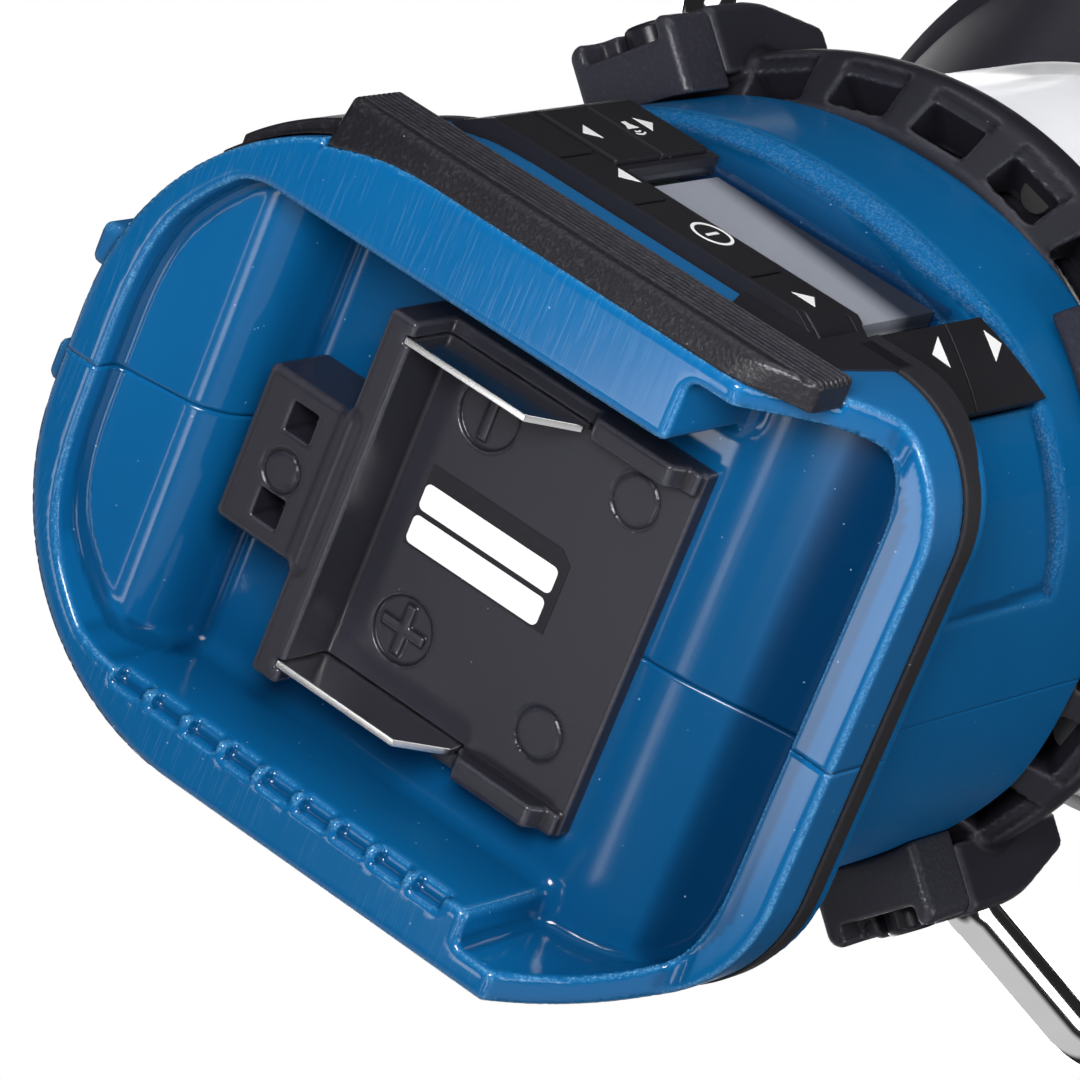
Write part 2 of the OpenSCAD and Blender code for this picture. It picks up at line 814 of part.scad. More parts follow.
module cap_lower() {
    z0 = cap_z0 + eps;
    color(black) difference() {
        rotate_extrude() polygon([[6, z0], [globe_r + 0.4, z0], [cap_groove_r, cap_groove_z],
            [cap_groove_r - 0.8, cap_groove_z + 1.8], [cap_groove_r + 1.6, cap_groove_z + 3],
            [cap_r, cap_z], [cap_r, cap_z + 3], [cap_r - 2.6, cap_z + 3],
            [cap_groove_r - 3, cap_groove_z + 3], [globe_r - 2, z0 + cap_t], [6, z0 + cap_t]]);
        for (a = [30 : 120 : 360])
            rotate(a) translate([cap_screw_r, 0, z0 - 1]) cylinder(d = screw_d, h = 10);
    }
}

module cap_top() {
    z0 = cap_z0 + cap_t + slip;
    color(black) union() {
        rotate_extrude() polygon([[0, cap_top], [30, cap_top - 1], [56, cap_top - 6], [70, cap_top - 13],
            [cap_r - 1, cap_z + 6], [cap_r, cap_z + 4], [cap_r, cap_z + 3 + slip],
            [cap_r - 2.4, cap_z + 3 + slip], [cap_r - 4, cap_z + 6], [68, cap_top - 16], [54, cap_top - 9],
            [30, cap_top - 4], [0, cap_top - 3]]);
        for (a = [30 : 120 : 360])
            rotate(a) translate([cap_screw_r, 0, z0]) difference() {
                cylinder(d = boss_d, h = cap_top - 5 - z0);
                translate([0, 0, -1]) cylinder(d = screw_d, h = 14);
            }
    }
}

module cap_screws() {
    color(steel) for (a = [30 : 120 : 360]) rotate(a) translate([cap_screw_r, 0, cap_z0 - head_h]) {
        translate([0, 0, head_h - eps]) cylinder(d = screw_d - slip, h = 12);
        cylinder(d = head_d, h = head_h);
    }
}

base_front_shell();
base_rear_shell();
edge_band();
front_bumper();
corner_pad();
port_cover();
terminal_block();
terminal_rails();
terminal_contacts();
base_screws();
body_front_shell();
body_rear_shell();
panel_bezel();
key_mode();
key_preset_down();
key_power();
key_preset_up();
key_volume_down();
key_volume_up();
key_tune_down();
key_tune_up();
display_window();
display_module();
keypad_board();
main_board();
speaker_baffle();
speaker_driver();
collar();
corner_guards();
collar_screws();
ear_pins();
bail();
led_board();
led_column();
globe();
globe_seal();
cap_lower();
cap_top();
cap_screws();
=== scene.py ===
import math

import bmesh
import bpy
import numpy as np
from mathutils import Matrix, Vector


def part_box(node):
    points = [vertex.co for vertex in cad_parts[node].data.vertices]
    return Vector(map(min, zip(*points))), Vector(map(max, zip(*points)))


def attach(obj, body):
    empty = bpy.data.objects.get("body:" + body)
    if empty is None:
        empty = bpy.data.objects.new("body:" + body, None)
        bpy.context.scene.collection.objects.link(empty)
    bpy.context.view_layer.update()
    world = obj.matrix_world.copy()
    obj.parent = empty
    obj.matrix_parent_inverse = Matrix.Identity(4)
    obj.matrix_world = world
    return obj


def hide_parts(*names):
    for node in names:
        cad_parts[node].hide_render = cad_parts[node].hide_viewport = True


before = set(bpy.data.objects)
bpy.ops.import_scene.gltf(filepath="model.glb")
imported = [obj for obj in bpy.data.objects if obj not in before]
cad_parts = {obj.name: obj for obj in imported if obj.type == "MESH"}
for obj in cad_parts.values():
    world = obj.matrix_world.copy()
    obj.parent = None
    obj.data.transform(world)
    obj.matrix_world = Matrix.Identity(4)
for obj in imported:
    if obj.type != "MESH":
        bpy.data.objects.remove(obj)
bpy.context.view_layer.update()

scene = bpy.context.scene
scene.view_settings.view_transform = "Standard"
mm = 0.001

# Camera: under the standing plane at the front right, so the battery bay and the controls both show.
# A long lens from about a metre away keeps the base's edges nearly parallel.
eye = Vector((432.85, -366.97, -778.25)) * mm
ahead = Vector((-0.4359, 0.3717, 0.8197)).normalized()
right = Vector((0.7497, -0.3539, 0.5592))
right = (right - ahead * right.dot(ahead)).normalized()
up = right.cross(ahead)


def placed(name, data):
    """An object in the scene, at the origin."""
    piece = bpy.data.objects.new(name, data)
    scene.collection.objects.link(piece)
    return piece


camera = placed("camera", bpy.data.cameras.new("camera"))
camera.data.sensor_width = 36
camera.data.lens = 224.67
camera.data.clip_end = 30
camera.matrix_world = Matrix.Translation(eye) @ Matrix((right, up, -ahead)).transposed().to_4x4()
scene.camera = camera

# Studio light: soft boxes above and below the part, and a pale sky all round.
# Each is aimed at the part's middle; watts follow the box's size and distance.
aim = Vector((0, 0, 0.09))
soft_boxes = {
    "key_box": ((0.12, -0.19, -0.27), 0.14, 0.14, 1.75),
    "under_box": ((-0.27, 0.27, -0.65), 0.13, 0.13, 0.24),
    "strip_box": ((0.055, 0.40, -1.00), 0.04, 0.50, 0.30),
    "edge_box": ((0.42, 0.43, -1.00), 0.12, 0.50, 0.9),
    "front_box": ((-0.15, -1.00, 0.10), 0.7, 0.9, 3.2),
    "right_box": ((0.95, -0.25, 0.25), 0.5, 0.8, 4.0),
    "top_box": ((-0.60, 0.45, 1.20), 0.9, 0.9, 9),
    "back_box": ((-0.35, 1.15, 0.75), 0.8, 0.8, 5),
}
for name, (place, width, height, watts) in soft_boxes.items():
    lamp = bpy.data.lights.new(name, "AREA")
    lamp.shape = "RECTANGLE"
    lamp.size = width
    lamp.size_y = height
    lamp.energy = watts
    holder = placed(name, lamp)
    holder.location = place
    holder.rotation_mode = "QUATERNION"
    holder.rotation_quaternion = (aim - Vector(place)).to_track_quat("-Z", "Y")
    holder.visible_camera = False


class Wire:
    """A shader socket that takes part in sums: each operator adds one Math node."""

    def __init__(self, socket):
        self.socket = socket

    def maths(self, operation, first, second):
        tree = self.socket.id_data
        made = tree.nodes.new("ShaderNodeMath")
        made.operation = operation
        for place, value in zip(made.inputs, (first, second)):
            if isinstance(value, Wire):
                tree.links.new(value.socket, place)
            else:
                place.default_value = value
        return Wire(made.outputs[0])

    def __add__(self, other):
        return self.maths("ADD", self, other)

    def __sub__(self, other):
        return self.maths("SUBTRACT", self, other)

    def __rsub__(self, other):
        return self.maths("SUBTRACT", other, self)

    def __mul__(self, other):
        return self.maths("MULTIPLY", self, other)

    def __gt__(self, other):
        return self.maths("GREATER_THAN", self, other)

    def __lt__(self, other):
        return self.maths("LESS_THAN", self, other)

    def most(self, other):
        return self.maths("MAXIMUM", self, other)

    __radd__ = __add__
    __rmul__ = __mul__


class Finish:
    """A material's or the sky's node tree; add() makes one node and gives its output as a Wire."""

    def __init__(self, owner):
        owner.use_nodes = True
        self.tree = owner.node_tree
        self.tree.nodes.clear()

    def add(self, kind, settings, values, out=0):
        made = self.tree.nodes.new("ShaderNode" + kind)
        for key, value in settings.items():
            if key == "stops":
                ramp = made.color_ramp
                while len(ramp.elements) < len(value):
                    ramp.elements.new(0.5)
                for element, (place, shade) in zip(ramp.elements, value):
                    element.position = place
                    element.color = (shade, shade, shade, 1)
            else:
                setattr(made, key, value)
        for key, value in values.items():
            if isinstance(value, Wire):
                self.tree.links.new(value.socket, made.inputs[key])
            else:
                made.inputs[key].default_value = value
        return Wire(made.outputs[out]) if made.outputs else None


sky = bpy.data.worlds.new("sky")
scene.world = sky
air = Finish(sky)
ambient_level = 0.115
mirror_level = 0.02
seen = air.add("LightPath", {}, {}, "Is Camera Ray").most(air.add("LightPath", {}, {}, "Is Transmission Ray"))
mirrored = air.add("LightPath", {}, {}, "Is Glossy Ray")
toward = air.add("TexCoord", {}, {}, "Generated")
height = air.add("SeparateXYZ", {}, {0: toward}, "Z")
behind = air.add("SeparateXYZ", {}, {0: toward}, "Y")
band_stops = [(0.13, 0), (0.21, 1), (0.56, 1), (0.64, 0)]
band = air.add("ValToRGB", {"stops": band_stops}, {"Fac": height * 0.5 + 0.5})
lit_side = air.add("ValToRGB", {"stops": [(0.58, 0.0), (0.68, 0.6)]}, {"Fac": behind * 0.5 + 0.5})
shine = mirror_level + band * lit_side
level = ambient_level + mirrored * (shine - ambient_level)
level = level + seen * (1 - level)
air.add("OutputWorld", {}, {"Surface": air.add("Background", {}, {"Color": (1, 1, 1, 1), "Strength": level})})

# Floor: a pale board that the part stands on, with the part's soft shadow on it.
# It shows from above only, so that the view from below passes through it.
floor_half = 2.5
floor_mesh = bpy.data.meshes.new("floor")
floor_z = -0.3 * mm
corners = [(floor_half * u, floor_half * v, floor_z) for u, v in ((-1, -1), (1, -1), (1, 1), (-1, 1))]
floor_mesh.from_pydata(corners, [], [(0, 1, 2, 3)])
floor = placed("floor", floor_mesh)
board = Finish(bpy.data.materials.new("pale_floor"))
floor_mesh.materials.append(bpy.data.materials["pale_floor"])
shown = board.add("LightPath", {}, {}, "Is Camera Ray") * (1 - board.add("NewGeometry", {}, {}, "Backfacing"))
mottle = board.add("TexNoise", {}, {"Scale": 3.0, "Detail": 2.0})
tone = board.add("ValToRGB", {"stops": [(0, 0.84), (1, 0.88)]}, {"Fac": mottle})
lit = board.add("Emission", {}, {"Color": (1, 1, 1, 1), "Strength": 1.3})
pale = board.add("MixShader", {}, {0: 0.5, 1: board.add("BsdfDiffuse", {}, {"Color": tone}), 2: lit})
clear = board.add("BsdfTransparent", {}, {})
board.add("OutputMaterial", {}, {"Surface": board.add("MixShader", {}, {0: shown, 1: clear, 2: pale})})

# Base shells: two moulded halves in satin blue that meet on a seam across the battery bay.
# Every edge has its moulding radius, so the shells are drawn as distances and then skinned.
base_low = np.array(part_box("edge_band")[0][:2]) / mm + 0.4
base_high = np.array(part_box("edge_band")[1][:2]) / mm - 0.4
base_top = 33
corner_radii = (47, 20, 27, 43)
seam = 2.4
rim = 4.6
bay_y = (-36.6, 41.2)
wide_y = (-47.8, 48.0)
wide_x = 31
bay_top = 22
end_top = 23.7
end_x = (38.5, 53.5)
bumper_x = (-38, 47.5)
bumper_z = (0.4, 14.6)
bumper_lap = 1.3
lug_x = (-70.2, -60)
lug_y = (-17, 2.7)
lug_z = (3, 14)
lug_wide = 7
panel_low, panel_high = (-35.35, -70, 26.15), (36.35, -44.6, 60)
port_y = (-7.4, 1.6)
port_z = (4, 13)
port_deep = 1.6
scoop_z = (28.6, 30)
ledge_path = ((-61.4, 4.8), (-52.4, 6.4), (-43.8, 9.2), (-40.4, 22))
bay_x = (-61.4, 56.6)
comb_x = -38
comb_pitch = 7.4
comb_count = 9
screw_x = (-20, 4, 28)
screw_z = 29


def slab(v, low, high):
    """Distance to the layer between two planes, below zero inside it."""
    return np.maximum(low - v, v - high)


def meet(a, b, r):
    """What lies in both, with its outer edge rounded to r."""
    return np.minimum(-r, np.maximum(a, b)) + np.hypot(np.maximum(r + a, 0), np.maximum(r + b, 0))


def join(a, b, r):
    """What lies in either, with its inner corner filled to r."""
    return np.maximum(r, np.minimum(a, b)) - np.hypot(np.maximum(r - a, 0), np.maximum(r - b, 0))


def brick(x, y, z, low, high, r):
    """A box between two corners, with every edge rounded to r."""
    sides = meet(slab(x, low[0], high[0]), slab(y, low[1], high[1]), r)
    return meet(sides, slab(z, low[2], high[2]), r)


def below(x, z, x0, z0, x1, z1):
    """Distance above the line through two points."""
    slope = (z1 - z0) / (x1 - x0)
    return (z - z0 - slope * (x - x0)) / math.hypot(1, slope)


def base_plan(x, y):
    """The base's outline: a rectangle with a radius of its own at each corner."""
    middle = (base_low + base_high) / 2
    half = (base_high - base_low) / 2
    front_left, front_right, back_right, back_left = corner_radii
    left = np.where(y < middle[1], front_left, back_left)
    right_side = np.where(y < middle[1], front_right, back_right)
    r = np.where(x < middle[0], left, right_side)
    across = np.abs(x - middle[0]) - half[0] + r
    along = np.abs(y - middle[1]) - half[1] + r
    outside = np.hypot(np.maximum(across, 0), np.maximum(along, 0))
    return np.minimum(np.maximum(across, along), 0) + outside - r


def bumper_reach(x, z):
    """The bumper's outline on the front wall, with its lower right corner cut off."""
    reach = meet(slab(x, *bumper_x), z - bumper_z[1], 1.0)
    return meet(reach, -below(x, z, bumper_x[1] - 9.5, bumper_z[0], bumper_x[1], bumper_z[0] + 5), 0.8)


def base_field(x, y, z):
    """Both base halves in one, with the battery bay and its scooped right end cut out."""
    plan = base_plan(x, y)
    solid = meet(plan, slab(z, 0, base_top), 0.9)
    rebate = np.maximum(np.maximum(bumper_reach(x, z), -plan - bumper_lap), y)
    solid = np.maximum(solid, -rebate)
    for y0 in lug_y:
        lug = brick(x, y, z, (lug_x[0], y0, lug_z[0]), (lug_x[1], y0 + lug_wide, lug_z[1]), 1.6)
        solid = join(solid, lug, 0.8)
    start, first, second, end = ledge_path
    ledge = join(below(x, z, *start, *first), below(x, z, *first, *second), 1.5)
    ledge = join(ledge, below(x, z, *second, *end), 4.5)
    roof = meet(ledge, z - bay_top, 3)
    scoop = meet(below(x, z, end_x[0] - 1, bay_top, end_x[0] + 8.5, scoop_z[0]), z - scoop_z[1], 9)
    roof = join(roof, scoop, 4.5)
    wide = meet(slab(y, *wide_y), wide_x - x, 2)
    sides = join(slab(y, *bay_y), wide, 1.4)
    bay = meet(meet(roof, sides, 3), meet(slab(x, *bay_x), plan + rim, 5), 2.2)
    solid = meet(solid, -bay, 1.1)
    end_cut = meet(below(x, z, end_x[0], 0, end_x[1], end_top), z - end_top, 2)
    solid = meet(solid, -end_cut, 0.9)
    for i in range(comb_count):
        x0 = comb_x + comb_pitch * i
        solid = meet(solid, -brick(x, y, z, (x0 - 0.4, 40, -2), (x0 + 5.4, 43.6, 2.6), 0.4), 0.3)
    panel = brick(x, y, z, panel_low, panel_high, 0.5)
    port = brick(x, y, z, (-80, port_y[0], port_z[0]), (base_low[0] + port_deep, port_y[1], port_z[1]), 0.5)
    solid = meet(meet(solid, -panel, 0.6), -port, 0.5)
    for x0 in screw_x:
        sink = meet(np.hypot(x - x0, z - screw_z) - 3.5, base_high[1] - 1.6 - y, 0.3)
        solid = meet(solid, -sink, 0.4)
    return solid


def skin(field, low, high, step):
    """Points and four-sided faces of the surface where the field is zero."""
    low = np.array(low, float)
    axes = [np.arange(a, b + step, step) for a, b in zip(low, high)]
    value = field(*np.meshgrid(*axes, indexing="ij"))
    inside = value < 0
    cells = np.array(value.shape) - 1
    total = np.zeros((*cells, 3))
    count = np.zeros(cells)
    for axis in range(3):
        others = (axis + 1) % 3, (axis + 2) % 3
        turned = np.moveaxis(value, (axis, *others), (0, 1, 2))
        for u in (0, 1):
            for v in (0, 1):
                patch = turned[:, u:u + cells[others[0]], v:v + cells[others[1]]]
                crossed = (patch[:-1] < 0) != (patch[1:] < 0)
                share = np.where(crossed, patch[:-1] / np.where(crossed, patch[:-1] - patch[1:], 1), 0)
                for k, amount in ((axis, share), (others[0], crossed * u), (others[1], crossed * v)):
                    total[..., k] += np.moveaxis(amount, (0, 1, 2), (axis, *others))
                count += np.moveaxis(crossed, (0, 1, 2), (axis, *others))
    used = count > 0
    order = np.full(cells, -1)
    order[used] = np.arange(used.sum())
    points = (np.argwhere(used) + total[used] / count[used][:, None]) * step + low
    faces = []
    for axis in range(3):
        others = (axis + 1) % 3, (axis + 2) % 3
        number = np.moveaxis(order, (axis, *others), (0, 1, 2))
        full = np.moveaxis(inside, (axis, *others), (0, 1, 2))[:, 1:-1, 1:-1]
        i, j, k = np.nonzero(full[:-1] != full[1:])
        corners = (i, j, k), (i, j + 1, k), (i, j + 1, k + 1), (i, j, k + 1)
        ring = np.stack([number[corner] for corner in corners], 1)
        outward = full[i, j, k]
        faces.append(np.where(outward[:, None], ring, ring[:, ::-1]))
    for _ in range(3):
        slope = np.stack([gradient(field, points, axis, 0.05) for axis in range(3)], 1)
        off = field(*points.T) / np.maximum((slope ** 2).sum(1), 0.05)
        points -= np.clip(off, -step / 2, step / 2)[:, None] * slope
    return points, np.concatenate(faces)


def gradient(field, points, axis, reach):
    """How fast the field grows along one axis."""
    shift = np.eye(3)[axis] * reach
    return (field(*(points + shift).T) - field(*(points - shift).T)) / (2 * reach)


def cast(name, field, low, high, step, marks=()):
    """A smooth mesh of the field, with how convex or hollow each point is, and other marks, on its points."""
    points, faces = skin(field, low, high, step)
    here = field(*points.T)
    bend = sum(field(*(points + s * step * np.eye(3)[k]).T) for k in range(3) for s in (-1, 1)) - 6 * here
    bend = bend / step ** 2
    mesh = bpy.data.meshes.new(name)
    mesh.from_pydata((points * mm).tolist(), [], faces.tolist())
    layers = {"edge": np.clip(bend, 0, 1), "hollow": np.clip(-2 * bend, 0, 1)}
    for key, mark in dict(marks).items():
        layers[key] = mark(*points.T)
    for key, amount in layers.items():
        layer = mesh.attributes.new(key, "FLOAT", "POINT")
        layer.data.foreach_set("value", amount.astype(np.float32))
    mesh.polygons.foreach_set("use_smooth", np.ones(len(mesh.polygons), bool))
    return placed(name, mesh)


def closed(name, work):
    """The piece that an edit mesh gives."""
    mesh = bpy.data.meshes.new(name)
    work.to_mesh(mesh)
    work.free()
    return placed(name, mesh)


def half_of(piece, name, front):
    """The part of a casting on one side of the seam, closed at the seam."""
    seam_gap = 0.12
    side = -1 if front else 1
    work = bmesh.new()
    work.from_mesh(piece.data)
    everything = work.verts[:] + work.edges[:] + work.faces[:]
    place = Vector((0, seam + side * seam_gap, 0)) * mm
    bmesh.ops.bisect_plane(work, geom=everything, plane_co=place, plane_no=(0, -side, 0), clear_outer=True)
    bmesh.ops.holes_fill(work, edges=[e for e in work.edges if e.is_boundary], sides=0)
    return closed(name, work)


def dress(piece, finish, slot, body, *nodes):
    """Gives a finished piece its material, its body and the nodes that it stands for; its slot is not used.
    """
    piece.data.materials.clear()
    piece.data.materials.append(finish)
    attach(piece, body)
    if nodes:
        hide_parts(*nodes)


def finish_named(name):
    """A new material, its node tree and its object coordinates."""
    made = bpy.data.materials.new(name)
    mix = Finish(made)
    return made, mix, mix.add("TexCoord", {}, {}, "Object")


def noise(mix, place, scale, detail):
    """Soft random clouds from 0 to 1."""
    return mix.add("TexNoise", {}, {"Vector": place, "Scale": scale, "Detail": detail})


def ramp(mix, stops, value):
    """A value led through the stops of a grey ramp."""
    return mix.add("ValToRGB", {"stops": stops}, {"Fac": value})


def blended(mix, share, first, second):
    """A colour between two others."""
    return mix.add("Mix", {"data_type": "RGBA"}, {0: share, 6: first, 7: second}, 2)


def mark_on(mix, key):
    """A mark that the casting has on its points."""
    return mix.add("Attribute", {"attribute_name": key}, {}, "Fac")


def rare_dots(mix, place, scale, size):
    """Small round specks, in about one cell of fourteen."""
    near = mix.add("TexVoronoi", {}, {"Vector": place, "Scale": scale}, "Distance")
    cell = mix.add("TexVoronoi", {}, {"Vector": place, "Scale": scale}, "Color")
    pick = mix.add("TexWhiteNoise", {}, {"Vector": cell})
    return (near < size) * (pick > 0.93)


def blue_moulding(name, shine, wear_and_highlight_level, scratch_level):
    """Satin blue plastic: fine grain outside, smooth inside, with scratches and specks, pale edges that are
    part wear and part painted highlight, painted glints on the coarse grain, and painted shade in hollows and
    wherever the deep and sunk marks are set.
    """
    made, mix, place = finish_named(name)
    edge = mark_on(mix, "edge")
    hollow = mark_on(mix, "hollow")
    grain = mark_on(mix, "grain")
    coarse = mark_on(mix, "coarse")
    cloud = noise(mix, place, 45.0, 3.0)
    fine = noise(mix, place, 2600.0, 2.0)
    rough_skin = noise(mix, place, 1150.0, 3.0)
    drawn = mix.add("Mapping", {}, {"Vector": place, "Scale": (900, 14, 900)})
    streak = noise(mix, drawn, 1.0, 4.0)
    scratch = None
    for turn, seed in ((0.35, 0.0), (0.8, 3.7), (2.5, 8.1)):
        lay = mix.add("Mapping", {}, {"Vector": place, "Location": (seed, seed, 0), "Rotation": (0, 0, turn),
                                      "Scale": (3600, 90, 400)})
        line = mix.add("TexNoise", {}, {"Vector": lay, "Scale": 1.0, "Detail": 1.0, "Distortion": 0.3})
        line = ramp(mix, [(0.64, 0), (0.74, 1)], line)
        scratch = line if scratch is None else scratch.most(line)
    rim_only = 0.8 * mm
    scratch = scratch * (mix.add("SeparateXYZ", {}, {0: place}, "Z") < rim_only)
    speck = rare_dots(mix, place, 620.0, 0.10)
    smooth = 1 - grain
    wear = ramp(mix, [(0.45, 0), (0.62, 1)], fine)
    # Pale edges: partly wear, partly a painted highlight along the rounded edges.
    crest = edge * edge
    wear_and_edge_highlight = crest * crest * (0.10 + 0.55 * wear) * wear_and_highlight_level
    tint = blended(mix, cloud, (0.0025, 0.098, 0.270, 1), (0.004, 0.118, 0.315, 1))
    # Painted shade: hollows, the deep mark and the sunk mark darken the blue towards navy.
    deep = mark_on(mix, "deep")
    sunk = mark_on(mix, "sunk")
    shade = (hollow * 0.55).most(deep).most(sunk)
    tint = blended(mix, shade, tint, (0.0006, 0.016, 0.055, 1))
    tint = blended(mix, wear_and_edge_highlight, tint, (0.12, 0.36, 0.62, 1))
    # Painted highlights: glints on the coarse brow; the scratches and specks are the moulding's own marks.
    glint = ramp(mix, [(0.48, 0), (0.62, 1)], fine)
    marks = (scratch * smooth * scratch_level).most(speck * 0.40).most(glint * coarse * 0.09)
    tint = blended(mix, marks, tint, (0.35, 0.55, 0.75, 1))
    rough = 0.11 + 0.36 * grain + 0.08 * coarse + 0.07 * streak * smooth - 0.04 * cloud
    height = fine * grain * 0.22 + rough_skin * coarse * 4.0 + streak * smooth * 0.08
    height = height - scratch * smooth * 0.3 * scratch_level
    relief = mix.add("Bump", {}, {"Strength": 0.55, "Distance": 0.16 * mm, "Height": height})
    gloss = mix.add("BsdfPrincipled", {}, {"Base Color": tint, "Roughness": rough, "Normal": relief,
                                           "Specular IOR Level": shine})
    # Where the deep mark is set, a dull shader paints the shine out too, as part of the painted shade.
    dull = mix.add("BsdfPrincipled", {}, {"Base Color": tint, "Roughness": 0.9, "Specular IOR Level": 0.0})
    mix.add("OutputMaterial", {}, {"Surface": mix.add("MixShader", {}, {0: deep, 1: gloss, 2: dull})})
    return made


base_blue = blue_moulding("base_blue", 0.44, 1.0, 0.07)
bay_inset = -4.2


def outer_mark(x, y, z):
    """The grained outside: all of the outline's wall above its lower edge."""
    return ((base_plan(x, y) > -0.5) & (z > 0.8)).astype(float)


def painted_corner_shade(x, y, z):
    """Painted shade for the bay's dark corners, behind the scoop and beside the left shelf: how far into them
    a point lies.
    """
    scoop = np.clip((x - 40.5) / 8.5, 0, 1) * np.clip((z - 24.2) / 2, 0, 1)
    shelf = np.clip(1 - np.abs(x + 39.5) / 4.5, 0, 1) * np.clip((z - 10) / 6, 0, 1)
    inside = base_plan(x, y) < bay_inset
    return inside * np.maximum(0.9 * scoop * (2 - scoop), 0.85 * shelf)


def sunk_mark(x, y, z):
    """How far up inside the bay a point lies, where less light comes."""
    return (base_plan(x, y) < bay_inset) * 0.42 * np.clip((z - 4) / 16, 0, 1)


base_cast = cast("base_cast", base_field, (-72, -54, -2.5), (66, 54, 35), 0.8,
                 {"grain": outer_mark, "deep": painted_corner_shade, "sunk": sunk_mark})
for node, front in (("base_front_shell", True), ("base_rear_shell", False)):
    dress(half_of(base_cast, node + "_skin", front), base_blue, "blue_plastic", "housing", node)
bpy.data.objects.remove(base_cast)

# Body shells: the taller blue halves above the base, with a flange on the band and a visor over the display.
# The front is bowed and the sides are flat. A coarsely textured brow runs from the visor to the right wall.
body_z = (37, 104)
body_r = 60.5
front_y = -56.3
front_arc = 120
flat_x = 59.5
panel_x = (-35, 36)
panel_back = -44.6
display_edge = (-50.5, 67.0)
brow_low = (-53.1, 73.4)
brow_tilt = 0.7
front_sunk = 3.2
zone_end_y = -14.3
lcd_left = -12.8
tune_turn = math.radians(-50)
tune_across = (-6.55, 7.95)


def turned(x, y, turn):
    """Distances out along a line from the axis and across it."""
    c, s = math.cos(turn), math.sin(turn)
    return x * c + y * s, y * c - x * s


def body_plan(x, y):
    """The body's outline: a circle with a bowed front and two flat sides."""
    bow = np.hypot(x, y - (front_arc + front_y)) - front_arc
    return meet(meet(np.hypot(x, y) - body_r, bow, 6), np.abs(x) - flat_x, 4)


def brow_height(x):
    """The brow's upper edge, which climbs a little towards the right wall."""
    return 78 + 6 * np.clip((x - 25) / 30, 0, 1)


def brow_face(x, y, z):
    """Distance outside the brow's bevel, which follows the body's outline."""
    return -(body_plan(x, y) + (brow_height(x) - z) * brow_tilt) / math.hypot(1, brow_tilt)


def sunk_depth(x, z):
    """How far the front zone lies behind the outline: deep over the display, slight on the right wall."""
    slight = 0.3 + 1.1 * np.clip((z - 45) / 35, 0, 1)
    return front_sunk + (slight - front_sunk) * np.clip((x - 22) / 14, 0, 1)


def body_field(x, y, z):
    """Both body halves in one, with the front zone, the panel and the tuning keys' pocket cut out."""
    plan = body_plan(x, y)
    solid = meet(plan, slab(z, *body_z), 0.8)
    slope = below(z, y, display_edge[1], display_edge[0], brow_low[1], brow_low[0])
    scoop = meet(slope, slab(x, *panel_x), 2.5)
    zone = np.minimum(scoop, -plan - sunk_depth(x, z))
    zone = meet(zone, brow_face(x, y, z), 0.5)
    zone = meet(zone, -plan - (zone_end_y - y), 0.5)
    left_end = panel_x[0] - 3.5 * np.clip((z - 64) / 4, 0, 1)
    zone = meet(zone, left_end - x, 1.0)
    solid = meet(solid, -np.maximum(zone, y), 0.5)
    flange = meet(base_plan(x, y), slab(z, body_z[0], body_z[0] + 3), 0.9)
    solid = join(solid, flange, 1.2)
    panel = brick(x, y, z, (panel_x[0], -90, 20), (panel_x[1], panel_back, display_edge[1]), 0.6)
    column = brick(x, y, z, (panel_x[0], -90, 20), (lcd_left, panel_back, 66.1), 0.6)
    solid = meet(meet(solid, -panel, 0.6), -column, 0.6)
    out, across = turned(x, y, tune_turn)
    t0, t1 = tune_across
    pocket = meet(slab(across, t0, t1), 52.5 - out, 0.6)
    pocket = meet(pocket, -below(across, z, t0, 41.15, t1, 46.25), 0.6)
    pocket = meet(pocket, below(across, z, t0, 71.35, t1, 81.35), 0.6)
    solid = meet(solid, -pocket, 0.5)
    rear = np.maximum(slab(np.abs(x), flat_x - 0.7, 90), slab(z, 43, 85))
    return meet(solid, -np.maximum(rear, 12.8 - y), 0.4)


def brow_mark(x, y, z):
    """The coarsely textured bevel."""
    drop = (brow_height(x) - z) * brow_tilt
    on_bevel = (np.abs(body_plan(x, y) + drop) < 0.3) & (drop > 0.25) & (drop < sunk_depth(x, z) - 0.05)
    return (on_bevel & (y < zone_end_y)).astype(float)


def fine_mark(x, y, z):
    """The finely grained walls: all but the smooth front over and under the brow."""
    smooth_front = (y < -30) & (z > 62) & (brow_mark(x, y, z) < 0.5)
    return np.where(smooth_front, 0.25, 1.0)


def painted_slope_shade(x, y, z):
    """Painted shade on the slope between the display and the brow, darkest next to the display."""
    on_front = (y < -44) & (z > display_edge[1] - 1) & (z < brow_low[1] + 0.3) & (np.abs(x) < 37)
    return on_front * np.clip(0.85 - 0.07 * (z - display_edge[1]), 0, 0.85)


body_blue = blue_moulding("body_blue", 0.08, 0.3, 0.0)
body_cast = cast("body_cast", body_field, (-69, -63, 35), (67, 63, 106), 0.85,
                 {"grain": fine_mark, "coarse": brow_mark, "deep": painted_slope_shade})
for node, front in (("body_front_shell", True), ("body_rear_shell", False)):
    dress(half_of(body_cast, node + "_skin", front), body_blue, "blue_plastic", "housing", node)
bpy.data.objects.remove(body_cast)


